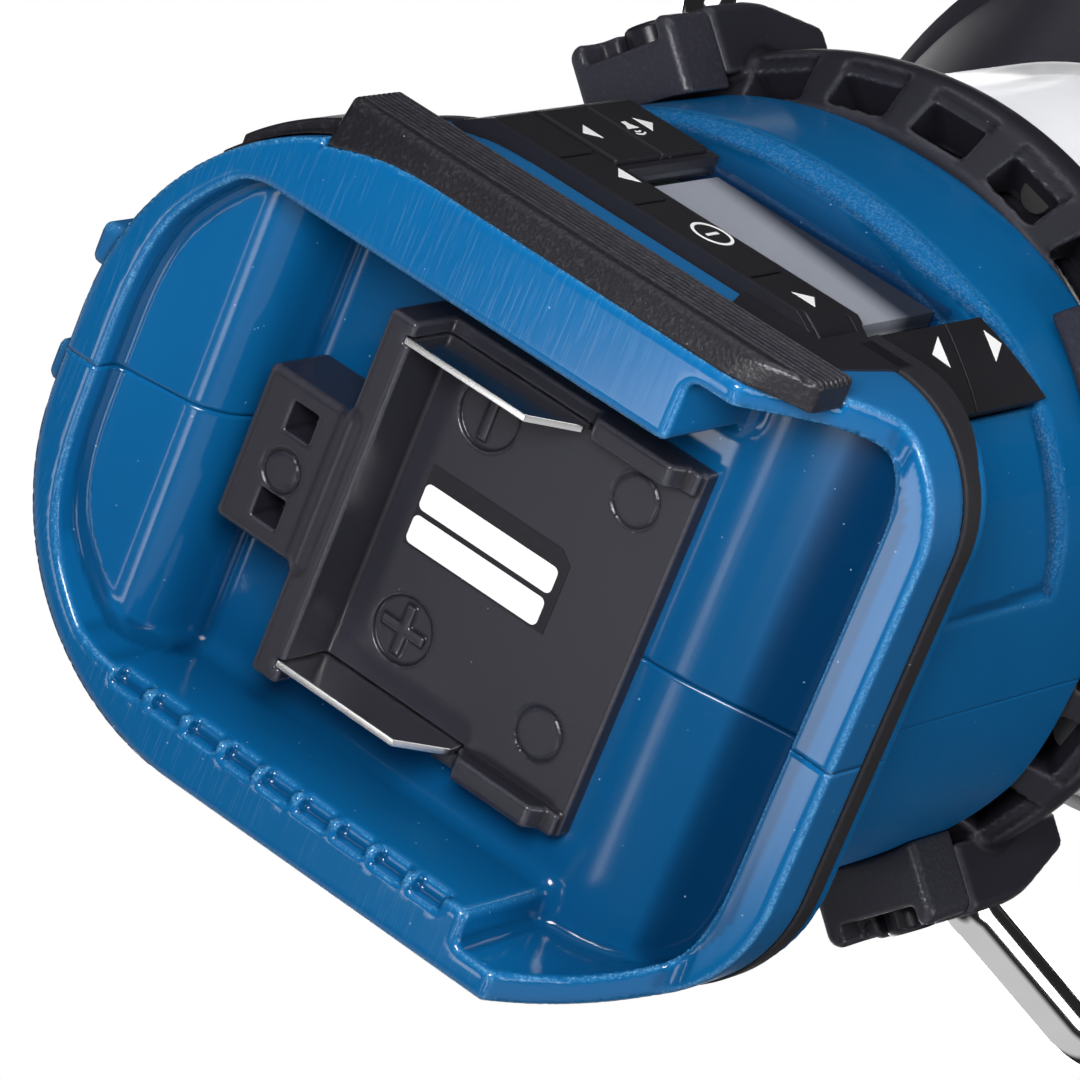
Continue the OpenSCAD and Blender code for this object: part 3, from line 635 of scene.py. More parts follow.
# Edge band: a soft black strip pressed between the base and the body, which shows as a dark line.
# Its edges are eased slightly, and its face has the dull grain of rubber.
def black_moulding(name, tone, rough, grain_scale, grain_depth, edge_shine=0.35, glints=0.0, sheen=0.4):
    """Black plastic or rubber with a moulded grain, a little painted shine along its edges, painted glints
    and painted shade in its hollows.
    """
    made, mix, place = finish_named(name)
    edge = mark_on(mix, "edge")
    hollow = mark_on(mix, "hollow")
    cloud = noise(mix, place, 60.0, 3.0)
    pits = noise(mix, place, grain_scale, 3.0)
    dust = rare_dots(mix, place, 420.0, 0.06)
    dark = (tone * 0.88, tone * 0.86, tone * 1.20, 1)
    light = (tone * 1.14, tone * 1.10, tone * 1.60, 1)
    tint = blended(mix, cloud, dark, light)
    # Painted shade in the hollows.
    tint = blended(mix, hollow * 0.6, tint, (tone * 0.3, tone * 0.3, tone * 0.4, 1))
    crest = edge * edge * edge
    tint = blended(mix, crest * edge_shine * pits, tint, (0.16, 0.16, 0.19, 1))
    tint = blended(mix, dust * 0.35, tint, (0.4, 0.4, 0.42, 1))
    # Painted glints on the grain.
    glint = ramp(mix, [(0.56, 0), (0.66, glints)], pits)
    tint = blended(mix, glint, tint, (0.20, 0.20, 0.23, 1))
    relief = mix.add("Bump", {}, {"Strength": 0.6, "Distance": grain_depth * mm, "Height": pits})
    gloss = mix.add("BsdfPrincipled", {}, {"Base Color": tint, "Roughness": rough - 0.1 * edge + 0.08 * cloud,
                                           "Specular IOR Level": sheen, "Normal": relief})
    mix.add("OutputMaterial", {}, {"Surface": gloss})
    return made


def bake(piece):
    """Keeps what the piece's modifiers give as its plain mesh."""
    bpy.context.view_layer.update()
    result = piece.evaluated_get(bpy.context.evaluated_depsgraph_get())
    made = bpy.data.meshes.new_from_object(result)
    piece.modifiers.clear()
    piece.data = made


def eased(node, name, width, segments=2):
    """A copy of a node's solid with its sharp edges rounded off."""
    work = bmesh.new()
    work.from_mesh(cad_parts[node].data)
    weld = 0.002 * mm
    flat = math.radians(0.5)
    sharp = math.radians(28)
    bmesh.ops.remove_doubles(work, verts=work.verts, dist=weld)
    bmesh.ops.dissolve_limit(work, angle_limit=flat, verts=work.verts, edges=work.edges)
    piece = closed(name, work)
    piece.data.polygons.foreach_set("use_smooth", np.ones(len(piece.data.polygons), bool))
    bevel = piece.modifiers.new("ease", "BEVEL")
    bevel.width = width * mm
    bevel.segments = segments
    bevel.limit_method = "ANGLE"
    bevel.angle_limit = sharp
    even = piece.modifiers.new("even", "WEIGHTED_NORMAL")
    even.weight = 100
    bake(piece)
    return piece


band_rubber = black_moulding("band_rubber", 0.010, 0.62, 1800.0, 0.05, 0.35, 0.03)
dress(eased("edge_band", "edge_band_strip", 0.5), band_rubber, "black_rubber", "housing", "edge_band")

# Band tail: the band's upper lip, which rises beside the control panel and thins out round the front corner.
# It is one soft strip on the body's flange, drawn along the base's outline.
tail_from = 35.5
tail_turn = math.radians(52)
tail_rise = 3.4
corner_r = corner_radii[1]
corner_at = (base_high[0] - corner_r, base_low[1] + corner_r)
tail_low = 36.8
straight = np.linspace(tail_from, corner_at[0], 8)[:-1]
path = [(u, base_low[1], 0, -1) for u in straight]
for a in np.linspace(0, tail_turn, 24):
    out_x, out_y = math.sin(a), -math.cos(a)
    path.append((corner_at[0] + corner_r * out_x, corner_at[1] + corner_r * out_y, out_x, out_y))
tail_mesh = bpy.data.meshes.new("edge_band_tail")
tail_points, tail_faces = [], []
for i, (u, v, out_x, out_y) in enumerate(path):
    bend = i - len(straight) + 1
    rise = tail_rise * (1 - max(0, bend / (len(path) - len(straight))) ** 2) + 0.05
    tail_top = tail_low + rise
    for out, z in ((-0.6, tail_low), (0.3, tail_low), (0.3, tail_top), (-0.6, tail_top)):
        tail_points.append(((u + out * out_x) * mm, (v + out * out_y) * mm, z * mm))
    if i:
        for k in range(4):
            n = (k + 1) % 4
            tail_faces.append((4 * i - 4 + k, 4 * i + k, 4 * i + n, 4 * i - 4 + n))
tail_faces += [(0, 1, 2, 3), tuple(4 * len(path) - 1 - k for k in range(4))]
tail_mesh.from_pydata(tail_points, [], tail_faces)
tail = placed("edge_band_tail", tail_mesh)
dress(tail, band_rubber, "black_rubber", "housing")

# Front bumper, corner pad and port cover: soft black mouldings on the base's outside.
# The bumper laps under the base's edge. It has an orange-peel texture, and fine ridges along its face.
bumper_y = base_low[1]
bumper_t = 3
rib_step = 1.25
rib_half = 0.33
rib_deep = 0.65


def bumper_field(x, y, z):
    """The bumper, hollowed where it sits on the base's wall."""
    solid = meet(bumper_reach(x, z), slab(y, bumper_y - bumper_t, bumper_y + 5), 0.9)
    out = base_plan(x, y)
    underside = np.minimum(below(out, z, -bumper_lap, 0.1, bumper_t, 1.7), z - 0.05)
    solid = meet(solid, -underside, 1.5)
    solid = np.maximum(solid, -out - bumper_lap)
    first = bumper_z[0] + 4.27
    phase = np.abs((z - first + rib_step / 2) % rib_step - rib_step / 2)
    groove = np.maximum(phase - rib_half, slab(z, first - 0.5, bumper_z[1] - 0.9))
    groove = np.maximum(groove, y - (bumper_y - bumper_t + rib_deep))
    return np.maximum(solid, -groove)


peel_rubber = black_moulding("peel_rubber", 0.009, 0.42, 1500.0, 0.20, 0.15, 0.06)
bumper = cast("front_bumper_ribs", bumper_field, (-39.5, -56, -0.8), (49, -46, 16), 0.3)
dress(bumper, peel_rubber, "black_rubber", "housing", "front_bumper")
dress(eased("corner_pad", "corner_pad_soft", 0.7, 3), peel_rubber, "black_rubber", "housing", "corner_pad")
dress(eased("port_cover", "port_cover_soft", 0.4), band_rubber, "black_rubber", "housing", "port_cover")

# Terminal block: black glass-filled plastic hung from the bay's roof, with a wall, an arm and a plate.
# It has square sockets, round marks with plus and minus signs, and a raised wedge at each edge of its plate.
block_y = 2.3
block_half = 30.4
block_z = (8, 22)
plate_z = 19
mark_y = 0.8
mark_x = -6.6
mark_r = 5.3
wall_x = (-22, -17)
arm_x = (-37.5, -20)
arm_half = 12.9
plate_x = (-20, 30)
socket_x = (-31.4, -26.6)
rail_x = (-18.2, 10.2)
wedge_w = 3.6


def block_field(x, y, z):
    """The block as it hangs in the bay: wall, arm and plate, with its sockets, slots and marks."""
    y0, y1 = block_y - block_half, block_y + block_half
    z0, z1 = block_z
    solid = brick(x, y, z, (wall_x[0], y0, z0), (wall_x[1], y1, z1), 0.7)
    arm = brick(x, y, z, (arm_x[0], block_y - arm_half, z0), (arm_x[1], block_y + arm_half, z1), 1.2)
    solid = join(solid, arm, 1.6)
    plate = brick(x, y, z, (plate_x[0], y0, plate_z), (plate_x[1], y1, z1 + 0.6), 0.5)
    solid = join(solid, plate, 0.7)
    for side in (y0, y1 - wedge_w):
        wedge = meet(slab(y, side, side + wedge_w), -below(x, z, 9, z1 - 1, 12, z1 - 7), 0.5)
        wedge = meet(wedge, slab(z, z1 - 7, z1), 0.6)
        wedge = meet(wedge, -below(x, z, 26, z1 - 7, 29, z1 - 1), 0.6)
        ledge = brick(x, y, z, (plate_x[0], side, plate_z - 1.2), (29.5, side + wedge_w, z1), 0.5)
        solid = join(join(solid, ledge, 0.4), wedge, 0.4)
    for s in (-1, 1):
        socket_y, rail_y = block_y + s * 7.2, block_y + s * 27.25
        socket = brick(x, y, z, (socket_x[0], socket_y - 2.4, 0), (socket_x[1], socket_y + 2.4, 16), 0.3)
        rail = brick(x, y, z, (rail_x[0], rail_y - 0.75, 0), (rail_x[1], rail_y + 0.75, 20.6), 0.1)
        solid = meet(meet(solid, -socket, 0.3), -rail, 0.25)
        across, along = x - mark_x, y - mark_y - s * 18.2
        disc = meet(np.hypot(across, along) - mark_r, slab(z, 10, plate_z + 0.7), 0.2)
        sign = np.maximum(np.abs(across) - 0.8, np.abs(along) - 4)
        if s > 0:
            sign = np.minimum(sign, np.maximum(np.abs(along) - 0.8, np.abs(across) - 4))
        solid = meet(solid, -meet(disc, -sign, 0.2), 0.25)
        ring = np.abs(np.hypot(x - 20.7, y - mark_y - s * 19.7) - 4) - 0.22
        solid = meet(solid, -meet(ring, slab(z, 10, plate_z + 0.3), 0.1), 0.1)
    ring = np.abs(np.hypot(x + 29.2, y - block_y - 1) - 3.2) - 0.3
    return meet(solid, -meet(ring, slab(z, 0, z0 + 0.35), 0.1), 0.1)


block_black = black_moulding("block_black", 0.020, 0.30, 1500.0, 0.04)
block = cast("terminal_block_moulding", block_field, (-39, -29.5, 6.6), (31.5, 34.2, 24), 0.42)
dress(block, block_black, "black_plastic", "housing", "terminal_block")


# Blank plate: a thin dark sheet with one cut corner and two empty white fields, stuck on the block's plate.
# The sheet is dull black film, and the fields are white ink on it.
def flat_piece(name, outlines, at, across, down, lift, thick):
    """Thin closed plates: each outline is a list of points in the plane of two directions."""
    work = bmesh.new()
    normal = Vector(across).cross(Vector(down)).normalized()
    for outline in outlines:
        low, high = [], []
        for u, v in outline:
            spot = Vector(at) + Vector(across) * u + Vector(down) * v
            low.append(work.verts.new((spot + normal * lift) * mm))
            high.append(work.verts.new((spot + normal * (lift + thick)) * mm))
        work.faces.new(high)
        work.faces.new(low[::-1])
        for i in range(len(low)):
            j = (i + 1) % len(low)
            work.faces.new((low[i], low[j], high[j], high[i]))
    bmesh.ops.recalc_face_normals(work, faces=work.faces)
    return closed(name, work)


def round_rect(u0, u1, v0, v1, r, steps=5):
    """Outline of a rectangle with rounded corners."""
    outline = []
    middles = (u1 - r, v1 - r), (u0 + r, v1 - r), (u0 + r, v0 + r), (u1 - r, v0 + r)
    for quarter, (cu, cv) in enumerate(middles):
        for i in range(steps + 1):
            a = math.radians(90 * quarter + 90 * i / steps)
            outline.append((cu + r * math.cos(a), cv + r * math.sin(a)))
    return outline


def white_print(name):
    """Opaque white ink with a faint mottle."""
    made, mix, place = finish_named(name)
    mottle = noise(mix, place, 300.0, 2.0)
    tone = ramp(mix, [(0.3, 0.86), (0.7, 0.90)], mottle)
    gloss = mix.add("BsdfPrincipled", {}, {"Base Color": tone, "Roughness": 0.45 + 0.1 * mottle})
    mix.add("OutputMaterial", {}, {"Surface": gloss})
    return made


ink = white_print("white_ink")
plate_edge = [(-6.3, -12), (-6.3, 13), (-4.5, 15.2), (6.9, 15.2), (6.9, -12)]
sheet = flat_piece("blank_plate", [plate_edge], (0, 0, plate_z), (0, 1, 0), (1, 0, 0), 0.02, 0.1)
fields = [round_rect(-3.3, 1.0, -11.8, 13.8, 1), round_rect(1.9, 6.5, -11.8, 13.6, 1)]
blank = flat_piece("blank_fields", fields, (0, 0, plate_z), (0, 1, 0), (1, 0, 0), 0.12, 0.04)
dress(sheet, band_rubber, "black_plastic", "housing")
dress(blank, ink, "lamp_white", "housing")


# Terminal rails: bright plated steel strips pressed into the block, which the battery slides on.
# Their cut edges shine, and their broad sides are polished enough to mirror the bay.
def bare_metal(name, tone, rough, drawn):
    """Plated metal with fine drawn lines and faint smudges."""
    made, mix, place = finish_named(name)
    stretch = mix.add("Mapping", {}, {"Vector": place, "Scale": drawn})
    lines = noise(mix, stretch, 1.0, 3.0)
    smudge = noise(mix, place, 90.0, 3.0)
    tint = ramp(mix, [(0.2, tone * 0.9), (0.8, tone)], smudge)
    relief = mix.add("Bump", {}, {"Strength": 0.25, "Distance": 0.02 * mm, "Height": lines})
    gloss = mix.add("BsdfPrincipled", {}, {"Base Color": tint, "Metallic": 1.0, "Normal": relief,
                                           "Roughness": rough + 0.06 * smudge + 0.05 * lines})
    mix.add("OutputMaterial", {}, {"Surface": gloss})
    return made


rail_steel = bare_metal("rail_steel", 0.86, 0.14, (60, 900, 900))
rails = eased("terminal_rails", "terminal_rails_plated", 0.12)
dress(rails, rail_steel, "bright_steel", "housing", "terminal_rails")

# Control panel: a black bezel with soft keys that stand a little out of it, and white signs printed on them.
# The keys have eased edges, and the signs ride on their own keys.
key_black = black_moulding("key_black", 0.007, 0.50, 2400.0, 0.03, 0.15)
bezel_black = black_moulding("bezel_black", 0.011, 0.40, 1900.0, 0.04)
dress(eased("panel_bezel", "panel_bezel_eased", 0.35), bezel_black, "black_plastic", "housing", "panel_bezel")
bridge = [(20, 26.4), (24, 14.4), (39.5, 14.4), (41.5, 21), (44.2, 33), (44.2, 36.9), (34, 36.9), (34, 26.4)]
panel_bridge = flat_piece("panel_bridge", [bridge], (0, base_low[1], 0), (1, 0, 0), (0, 0, 1), -0.3, 0.7)
dress(panel_bridge, bezel_black, "black_plastic", "housing")
key_names = ("key_mode", "key_preset_down", "key_power", "key_preset_up", "key_volume_down", "key_volume_up",
             "key_tune_down", "key_tune_up")
for key in key_names:
    dress(eased(key, key + "_cap", 0.45, 3), key_black, "key_rubber", key, key)


def triangle(size, upward):
    """An arrowhead that points up or down."""
    tip = size if upward else -size
    return [[(-size * 0.85, -tip * 0.55), (size * 0.85, -tip * 0.55), (0, tip * 0.6)]]


def hoop(r, width, start=0.0, sweep=2 * math.pi, steps=40):
    """A ring, or part of one, as a row of short closed pieces."""
    turns = [start + sweep * i / steps for i in range(steps + 1)]
    pieces = []
    for a, b in zip(turns, turns[1:]):
        corners = (a, r), (b, r), (b, r - width), (a, r - width)
        pieces.append([(d * math.cos(turn), d * math.sin(turn)) for turn, d in corners])
    return pieces


key_face = -53.4
tune_sign_r = 61.6
speaker_sign = [[(-2.0, -0.6), (-1.1, -0.6), (0.1, -1.5), (0.1, 1.5), (-1.1, 0.6), (-2.0, 0.6)]]
speaker_sign += hoop(1.3, 0.35, -0.7, 1.4, 8) + hoop(2.1, 0.35, -0.7, 1.4, 8)
signs = {
    "key_preset_down": (triangle(2.6, False), (-10.2, 36.1)),
    "key_power": (hoop(3.4, 0.55) + [[(-0.3, -1.5), (0.3, -1.5), (0.3, 1.5), (-0.3, 1.5)]], (7.2, 35.2)),
    "key_preset_up": (triangle(2.6, True), (26.2, 33.8)),
    "key_volume_down": (triangle(2.4, False), (-22.5, 43.4)),
    "key_volume_up": (triangle(2.4, True), (-22.6, 59.4)),
}
for key, (outlines, (x0, z0)) in signs.items():
    if key == "key_volume_up":
        outlines = outlines + [[(u + 0.6, v - 4.7) for u, v in outline] for outline in speaker_sign]
    sign = flat_piece(key + "_sign", outlines, (x0, key_face, z0), (1, 0, 0), (0, 0, 1), -0.01, 0.05)
    dress(sign, ink, "lamp_white", key)
for key, turn, z0, upward in (("key_tune_down", -51.9, 55.7, False), ("key_tune_up", -51.5, 71.7, True)):
    a = math.radians(turn)
    at = (tune_sign_r * math.cos(a), tune_sign_r * math.sin(a), z0)
    across = (-math.sin(a), math.cos(a), 0)
    sign = flat_piece(key + "_sign", triangle(2.9, upward), at, across, (0, 0, 1), 0.0, 0.06)
    dress(sign, ink, "lamp_white", key)


# Display: a pale grey liquid-crystal module behind a clear hard window.
# The window only shines and lets light through; the module has painted shade and dark reflection from the
# visor towards its top.
def clear_sheet(name, share, rough, tone, metallic=1.0, painted_glow=0.0):
    """Clear plastic: part see-through, with a share of mirror shine or pale diffuser, a little haze and an
    optional painted glow.
    """
    made, mix, place = finish_named(name)
    haze = noise(mix, place, 130.0, 2.0)
    shine = mix.add("BsdfPrincipled", {}, {"Base Color": (0.86, 0.87, 0.90, 1), "Metallic": metallic,
                                           "Roughness": rough + 0.05 * haze, "Emission Strength": painted_glow,
                                           "Emission Color": (1, 1, 1, 1)})
    through = mix.add("BsdfTransparent", {}, {"Color": tone})
    sheet = mix.add("MixShader", {}, {0: share + 0.04 * haze, 1: through, 2: shine})
    mix.add("OutputMaterial", {}, {"Surface": sheet})
    return made


def paint_node(node, finish):
    """Gives a node that shows as built its material."""
    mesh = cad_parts[node].data
    mesh.materials.clear()
    mesh.materials.append(finish)


def mottled(name, dark, light, scale, rough):
    """A plain finish between two close tones."""
    made, mix, place = finish_named(name)
    cloud = noise(mix, place, scale, 3.0)
    tint = blended(mix, cloud, (*dark, 1), (*light, 1))
    gloss = mix.add("BsdfPrincipled", {}, {"Base Color": tint, "Roughness": rough + 0.1 * cloud})
    mix.add("OutputMaterial", {}, {"Surface": gloss})
    return made


def crystal_grey(name, turn_z, fade):
    """Pale grey liquid crystal with painted shade and dark reflection from the visor above a slanting line.
    """
    made, mix, place = finish_named(name)
    cloud = noise(mix, place, 25.0, 2.0)
    rise = mix.add("SeparateXYZ", {}, {0: place}, "Z")
    along = mix.add("SeparateXYZ", {}, {0: place}, "X")
    height = (rise + along * 0.2 - turn_z) * (1 / fade) + 0.5
    # Painted shade and reflection from the visor over the display's top.
    shade = ramp(mix, [(0.42, 0), (0.5, 0.35), (0.62, 1)], height)
    tint = blended(mix, cloud, (0.60, 0.61, 0.61, 1), (0.68, 0.69, 0.69, 1))
    tint = blended(mix, shade, tint, (0.045, 0.055, 0.075, 1))
    gloss = mix.add("BsdfPrincipled", {}, {"Base Color": tint, "Roughness": 0.35 + 0.1 * cloud})
    mix.add("OutputMaterial", {}, {"Surface": gloss})
    return made


window_rise = 4.6 * mm
display_looks = {
    "display_window": (clear_sheet("display_clear", 0.10, 0.02, (0.90, 0.91, 0.95, 1)), "display_glass"),
    "display_module": (crystal_grey("display_grey", 0.0618, 0.03), "display_panel"),
}
for node, (finish, slot) in display_looks.items():
    low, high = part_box(node)
    high = (high[0], high[1], high[2] + window_rise)
    work = bmesh.new()
    bmesh.ops.create_cube(work, size=1)
    for vert in work.verts:
        share = [c + 0.5 for c in vert.co]
        vert.co = [a + s * (b - a) for a, b, s in zip(low, high, share)]
    dress(closed(node + "_pane", work), finish, slot, "housing", node)

# Speaker collar: a black moulded ring with a sloped row of vents under hoods, and ears at its corners.
# Two tall ears carry the bail in round mouths; the other two are low blocks.
collar_black = black_moulding("collar_black", 0.018, 0.44, 1300.0, 0.06, sheen=0.2)
vent_turn = math.radians(15)
half_turn = math.sqrt(0.5)
vent_at = (61.35, 108)
collar_r = 65.3
collar_z = (104, 127.5)
ear_u = (56, 73.4)
ear_half = 10
tall_ear, low_ear = (135, 118.5), (118.2, 112)
pivot_z = 117.5
mouth_u = 69.4
corners_at = (45, 135, 225, 315)
bail_corners = (45, 225)
pin_z = 101
pin_bore = 4.05


def collar_field(x, y, z):
    """The collar's ring with its four ears, its bores and its row of vents."""
    r = np.hypot(x, y)
    turn = np.arctan2(y, x)
    flare = -below(r, z, 57.4, collar_z[0], collar_r, 112)
    crown = below(r, z, collar_r, 119, 60.8, 126)
    ring = meet(meet(flare, r - collar_r, 1.5), crown, 2)
    ring = meet(ring, slab(z, *collar_z), 0.6)
    for quarter in corners_at:
        u, t = turned(x, y, math.radians(quarter))
        top, face = tall_ear if quarter in bail_corners else low_ear
        ear = meet(slab(u, *ear_u), np.abs(t) - ear_half, 1.6)
        ear = meet(ear, below(u, z, 67.8, top, ear_u[1], face), 1.5)
        ear = meet(ear, slab(z, collar_z[0], top), 1.2)
        ear = np.maximum(ear, 62.2 - u)
        ring = join(ring, ear, 1.5)
        if quarter in bail_corners:
            bore = np.hypot(t, z - pivot_z)
            ring = meet(ring, -meet(bore - 7.5, mouth_u - u, 0.3), 0.6)
            ring = meet(ring, -meet(bore - 4.31, 60 - u, 0.1), 0.2)
            ring = np.maximum(ring, -np.maximum(np.hypot(t, z - pin_z) - pin_bore, 61 - u))
    ring = meet(ring, 54 - r, 0.3)
    step = np.round(turn / vent_turn) * vent_turn
    u = r * np.cos(turn - step) - vent_at[0]
    t = r * np.sin(turn - step)
    along = (u - (z - vent_at[1])) * half_turn
    out = (u + (z - vent_at[1])) * half_turn
    window = meet(np.abs(t) - 5.2, slab(along, -12, 8), 0.9)
    window = meet(window, slab(out, -4.2, 2.2), 0.9)
    hood = meet(np.abs(t) - 5.6, slab(along, -0.8, 7.2), 0.5)
    hood = meet(hood, slab(out, 2.0, 4.6), 0.5)
    vent = np.minimum(window, hood)
    at_ear = np.abs(np.mod(np.degrees(step), 90) - 45) < 1
    ring = np.where(at_ear, ring, meet(ring, -vent, 0.5))
    shelf = meet(slab(r, 50, 55), slab(z, 121, 124), 0.3)
    return np.minimum(ring, shelf)


collar_piece = cast("collar_moulding", collar_field, (-75, -75, 102.8), (75, 75, 136.4), 0.75)
dress(collar_piece, collar_black, "black_plastic", "housing", "collar")

# Corner guards: four coarse-grained black blocks under the ears, two of them hollowed round a black pin.
# They are separate mouldings screwed to the body, with glossy rounded edges.
guard_u = (50, 72.8)
guard_z = (91.6, 104)
guard_black = black_moulding("guard_black", 0.026, 0.40, 1300.0, 0.24, 0.2, 0.06)


def guard_field(x, y, z):
    """All four guards, each fitted to the body's round wall."""
    r = np.hypot(x, y)
    whole = None
    for quarter in corners_at:
        u, t = turned(x, y, math.radians(quarter))
        block = meet(slab(u, *guard_u), np.abs(t) - ear_half, 2.2)
        block = meet(block, slab(z, *guard_z), 1.4)
        if quarter in bail_corners:
            pocket = meet(np.abs(t) - 7, mouth_u - u, 0.8)
            pocket = meet(pocket, z - 97.6, 0.8)
            throat = np.maximum(np.maximum(np.abs(t) - pin_bore, mouth_u - u), slab(z, 96, 101.6))
            hole = np.maximum(np.hypot(t, z - pin_z) - pin_bore, 61 - u)
            block = meet(block, -pocket, 0.8)
            block = meet(meet(block, -throat, 0.3), -hole, 0.3)
        block = meet(block, 60.65 - r, 0.4)
        whole = block if whole is None else np.minimum(whole, block)
    return whole


guards = cast("corner_guards_moulding", guard_field, (-60.5, -60.5, 90.4), (60.5, 60.5, 105), 0.55)
dress(guards, guard_black, "black_plastic", "housing", "corner_guards")

# Bail: a bright plated round rod, bent to a wide handle that swings on the two tall ears.
# One sweep along a path with rounded corners, so that its bends stay smooth.
rod_r = 4.25
rod_end = 62.6
bail_half = 101
bail_top = 291.75
heel_bend, shoulder_bend, crown_bend = 6.5, 18, 62
shoulder_turn = math.radians(39)
heel_x = mouth_u + 0.6 + heel_bend * math.tan(shoulder_turn / 2)
shoulder_z = pivot_z + (bail_half - heel_x) * math.tan(shoulder_turn)
leg = [(rod_end, pivot_z, 0), (heel_x, pivot_z, heel_bend), (bail_half, shoulder_z, shoulder_bend),
       (bail_half, bail_top, crown_bend)]
route = leg + [(-u, z, bend_r) for u, z, bend_r in leg[::-1]]


def tree_named(name, extras):
    """An empty Geometry Nodes tree with a geometry input and output and named number inputs."""
    tree = bpy.data.node_groups.new(name, "GeometryNodeTree")
    face = tree.interface
    face.new_socket("Geometry", in_out="INPUT", socket_type="NodeSocketGeometry")
    face.new_socket("Geometry", in_out="OUTPUT", socket_type="NodeSocketGeometry")
    for label, kind in extras.items():
        face.new_socket(label, in_out="INPUT", socket_type=kind)
    return tree


def grow(tree, kind, settings, values):
    """One Geometry Nodes node with its settings, then its inputs by name or place."""
    made = tree.nodes.new(kind)
    for key, value in settings.items():
        setattr(made, key, value)
    for key, value in values.items():
        if isinstance(value, bpy.types.NodeSocket):
            tree.links.new(value, made.inputs[key])
        else:
            made.inputs[key].default_value = value
    return made


def set_and_bake(piece, tree, values):
    """Runs the tree on a piece once and keeps the result as its plain mesh."""
    grown = piece.modifiers.new("grow", "NODES")
    grown.node_group = tree
    for item in tree.interface.items_tree:
        if item.in_out == "INPUT" and item.name in values:
            grown[item.identifier] = values[item.name]
    bake(piece)


chrome = bare_metal("chrome", 0.90, 0.04, (40, 40, 40))
sweep = tree_named("bail_sweep", {"Rod radius": "NodeSocketFloat", "Finish": "NodeSocketMaterial"})
source = grow(sweep, "NodeGroupInput", {}, {})
line = grow(sweep, "GeometryNodeMeshToCurve", {}, {"Mesh": source.outputs["Geometry"]})
bend = grow(sweep, "GeometryNodeInputNamedAttribute", {"data_type": "FLOAT"}, {"Name": "bend"})
soft = grow(sweep, "GeometryNodeFilletCurve", {"mode": "POLY"},
            {"Curve": line.outputs[0], "Count": 28, "Radius": bend.outputs[0]})
circle = grow(sweep, "GeometryNodeCurvePrimitiveCircle", {},
              {"Resolution": 40, "Radius": source.outputs["Rod radius"]})
tube = grow(sweep, "GeometryNodeCurveToMesh", {},
            {"Curve": soft.outputs[0], "Profile Curve": circle.outputs[0], "Fill Caps": True})
whole = grow(sweep, "GeometryNodeRealizeInstances", {}, {0: tube.outputs[0]})
shaded = grow(sweep, "GeometryNodeSetShadeSmooth", {}, {0: whole.outputs[0]})
coated = grow(sweep, "GeometryNodeSetMaterial", {},
              {0: shaded.outputs[0], "Material": source.outputs["Finish"]})
grow(sweep, "NodeGroupOutput", {}, {0: coated.outputs[0]})
bail_mesh = bpy.data.meshes.new("bail_rod")
knots = [(u * half_turn * mm, u * half_turn * mm, z * mm) for u, z, _ in route]
bail_mesh.from_pydata(knots, [(i, i + 1) for i in range(len(knots) - 1)], [])
layer = bail_mesh.attributes.new("bend", "FLOAT", "POINT")
layer.data.foreach_set("value", [bend_r * mm for _, _, bend_r in route])
bail_rod = placed("bail_rod", bail_mesh)
set_and_bake(bail_rod, sweep, {"Rod radius": rod_r * mm, "Finish": chrome})
dress(bail_rod, chrome, "chrome_rod", "bail", "bail")

# Lantern head: a clear globe on the collar, a black cap over it, and a white lamp board and column inside.
# The globe and the cap are turned shapes with smooth faces; the lamps stand in a ring on the board.
# Painted glow: the globe gets a faint emission that stands for light coming through it from behind.
globe_clear = clear_sheet("globe_clear", 0.72, 0.12, (0.97, 0.97, 0.99, 1), 0.0, 0.35)
cap_black = black_moulding("cap_black", 0.032, 0.48, 1000.0, 0.08)
dress(eased("globe", "globe_clear_wall", 0.3), globe_clear, "globe_plastic", "housing", "globe")
for node in ("cap_lower", "cap_top"):
    dress(eased(node, node + "_turned", 0.5), cap_black, "black_plastic", "housing", node)
paint_node("globe_seal", band_rubber)
lamp_white = mottled("lamp_white", (0.80, 0.80, 0.77), (0.88, 0.88, 0.85), 60.0, 0.4)
paint_node("led_board", lamp_white)
paint_node("led_column", lamp_white)
lamp_count = 18
lamp_z = 125.6
lamp_r = 38
lamp_size = 4.2
spread = tree_named("lamp_ring", {"Lamp size": "NodeSocketFloat", "Finish": "NodeSocketMaterial"})
source = grow(spread, "NodeGroupInput", {}, {})
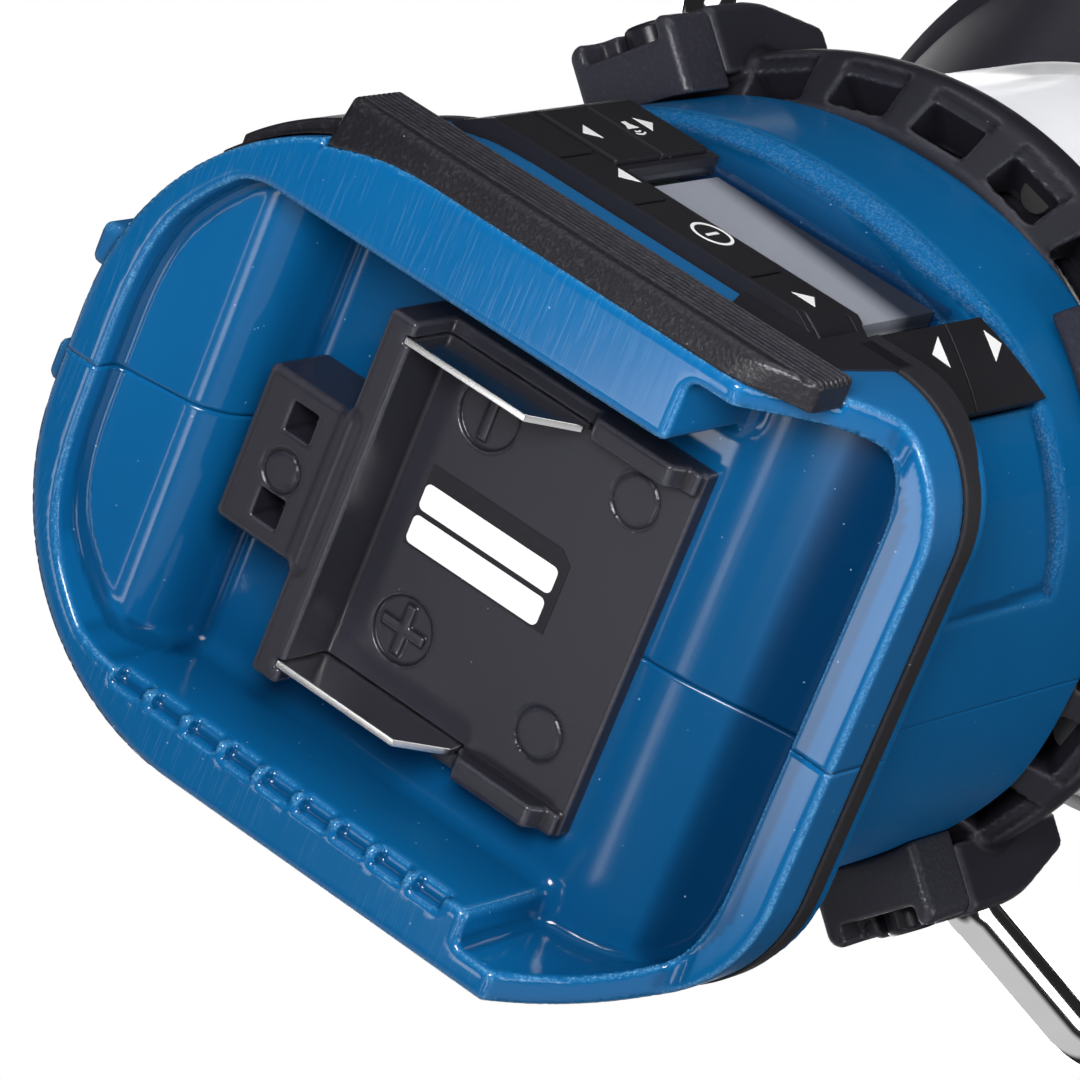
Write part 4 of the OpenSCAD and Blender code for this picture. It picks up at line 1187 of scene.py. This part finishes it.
box = grow(spread, "GeometryNodeMeshCube", {}, {"Size": (1, 1, 1 / 3)})
copies = grow(spread, "GeometryNodeInstanceOnPoints", {},
              {"Points": source.outputs["Geometry"], "Instance": box.outputs[0],
               "Scale": source.outputs["Lamp size"]})
whole = grow(spread, "GeometryNodeRealizeInstances", {}, {0: copies.outputs[0]})
coated = grow(spread, "GeometryNodeSetMaterial", {},
              {0: whole.outputs[0], "Material": source.outputs["Finish"]})
grow(spread, "NodeGroupOutput", {}, {0: coated.outputs[0]})
ring_mesh = bpy.data.meshes.new("lamp_ring")
turns = [2 * math.pi * i / lamp_count for i in range(lamp_count)]
lamps = [Vector((lamp_r * math.cos(a), lamp_r * math.sin(a), lamp_z + 0.6)) * mm for a in turns]
ring_mesh.from_pydata(lamps, [], [])
lamp_ring = placed("lamp_ring", ring_mesh)
lens_yellow = mottled("lens_yellow", (0.75, 0.55, 0.12), (0.85, 0.66, 0.20), 400.0, 0.3)
set_and_bake(lamp_ring, spread, {"Lamp size": lamp_size * mm, "Finish": lens_yellow})
dress(lamp_ring, lens_yellow, "lamp_white", "housing")

# Inner pieces: boards, speaker, contacts, pins and screws, which show little or not at all.
# Boards are green laminate, the speaker is black paper and steel, and the metal is plated.
laminate = mottled("laminate", (0.01, 0.10, 0.04), (0.03, 0.16, 0.07), 300.0, 0.45)
for node in ("keypad_board", "main_board"):
    paint_node(node, laminate)
speaker_black = mottled("speaker_black", (0.012, 0.012, 0.014), (0.03, 0.03, 0.034), 120.0, 0.6)
for node in ("speaker_baffle", "speaker_driver"):
    paint_node(node, speaker_black)
screw_steel = bare_metal("screw_steel", 0.60, 0.25, (300, 300, 300))
paint_node("terminal_contacts", screw_steel)
for node in ("base_screws", "collar_screws", "cap_screws"):
    dress(eased(node, node + "_plated", 0.25), screw_steel, "bright_steel", "housing", node)
pin_black = black_moulding("pin_black", 0.014, 0.22, 1500.0, 0.02)
dress(eased("ear_pins", "ear_pins_black", 0.9, 3), pin_black, "black_plastic", "housing", "ear_pins")
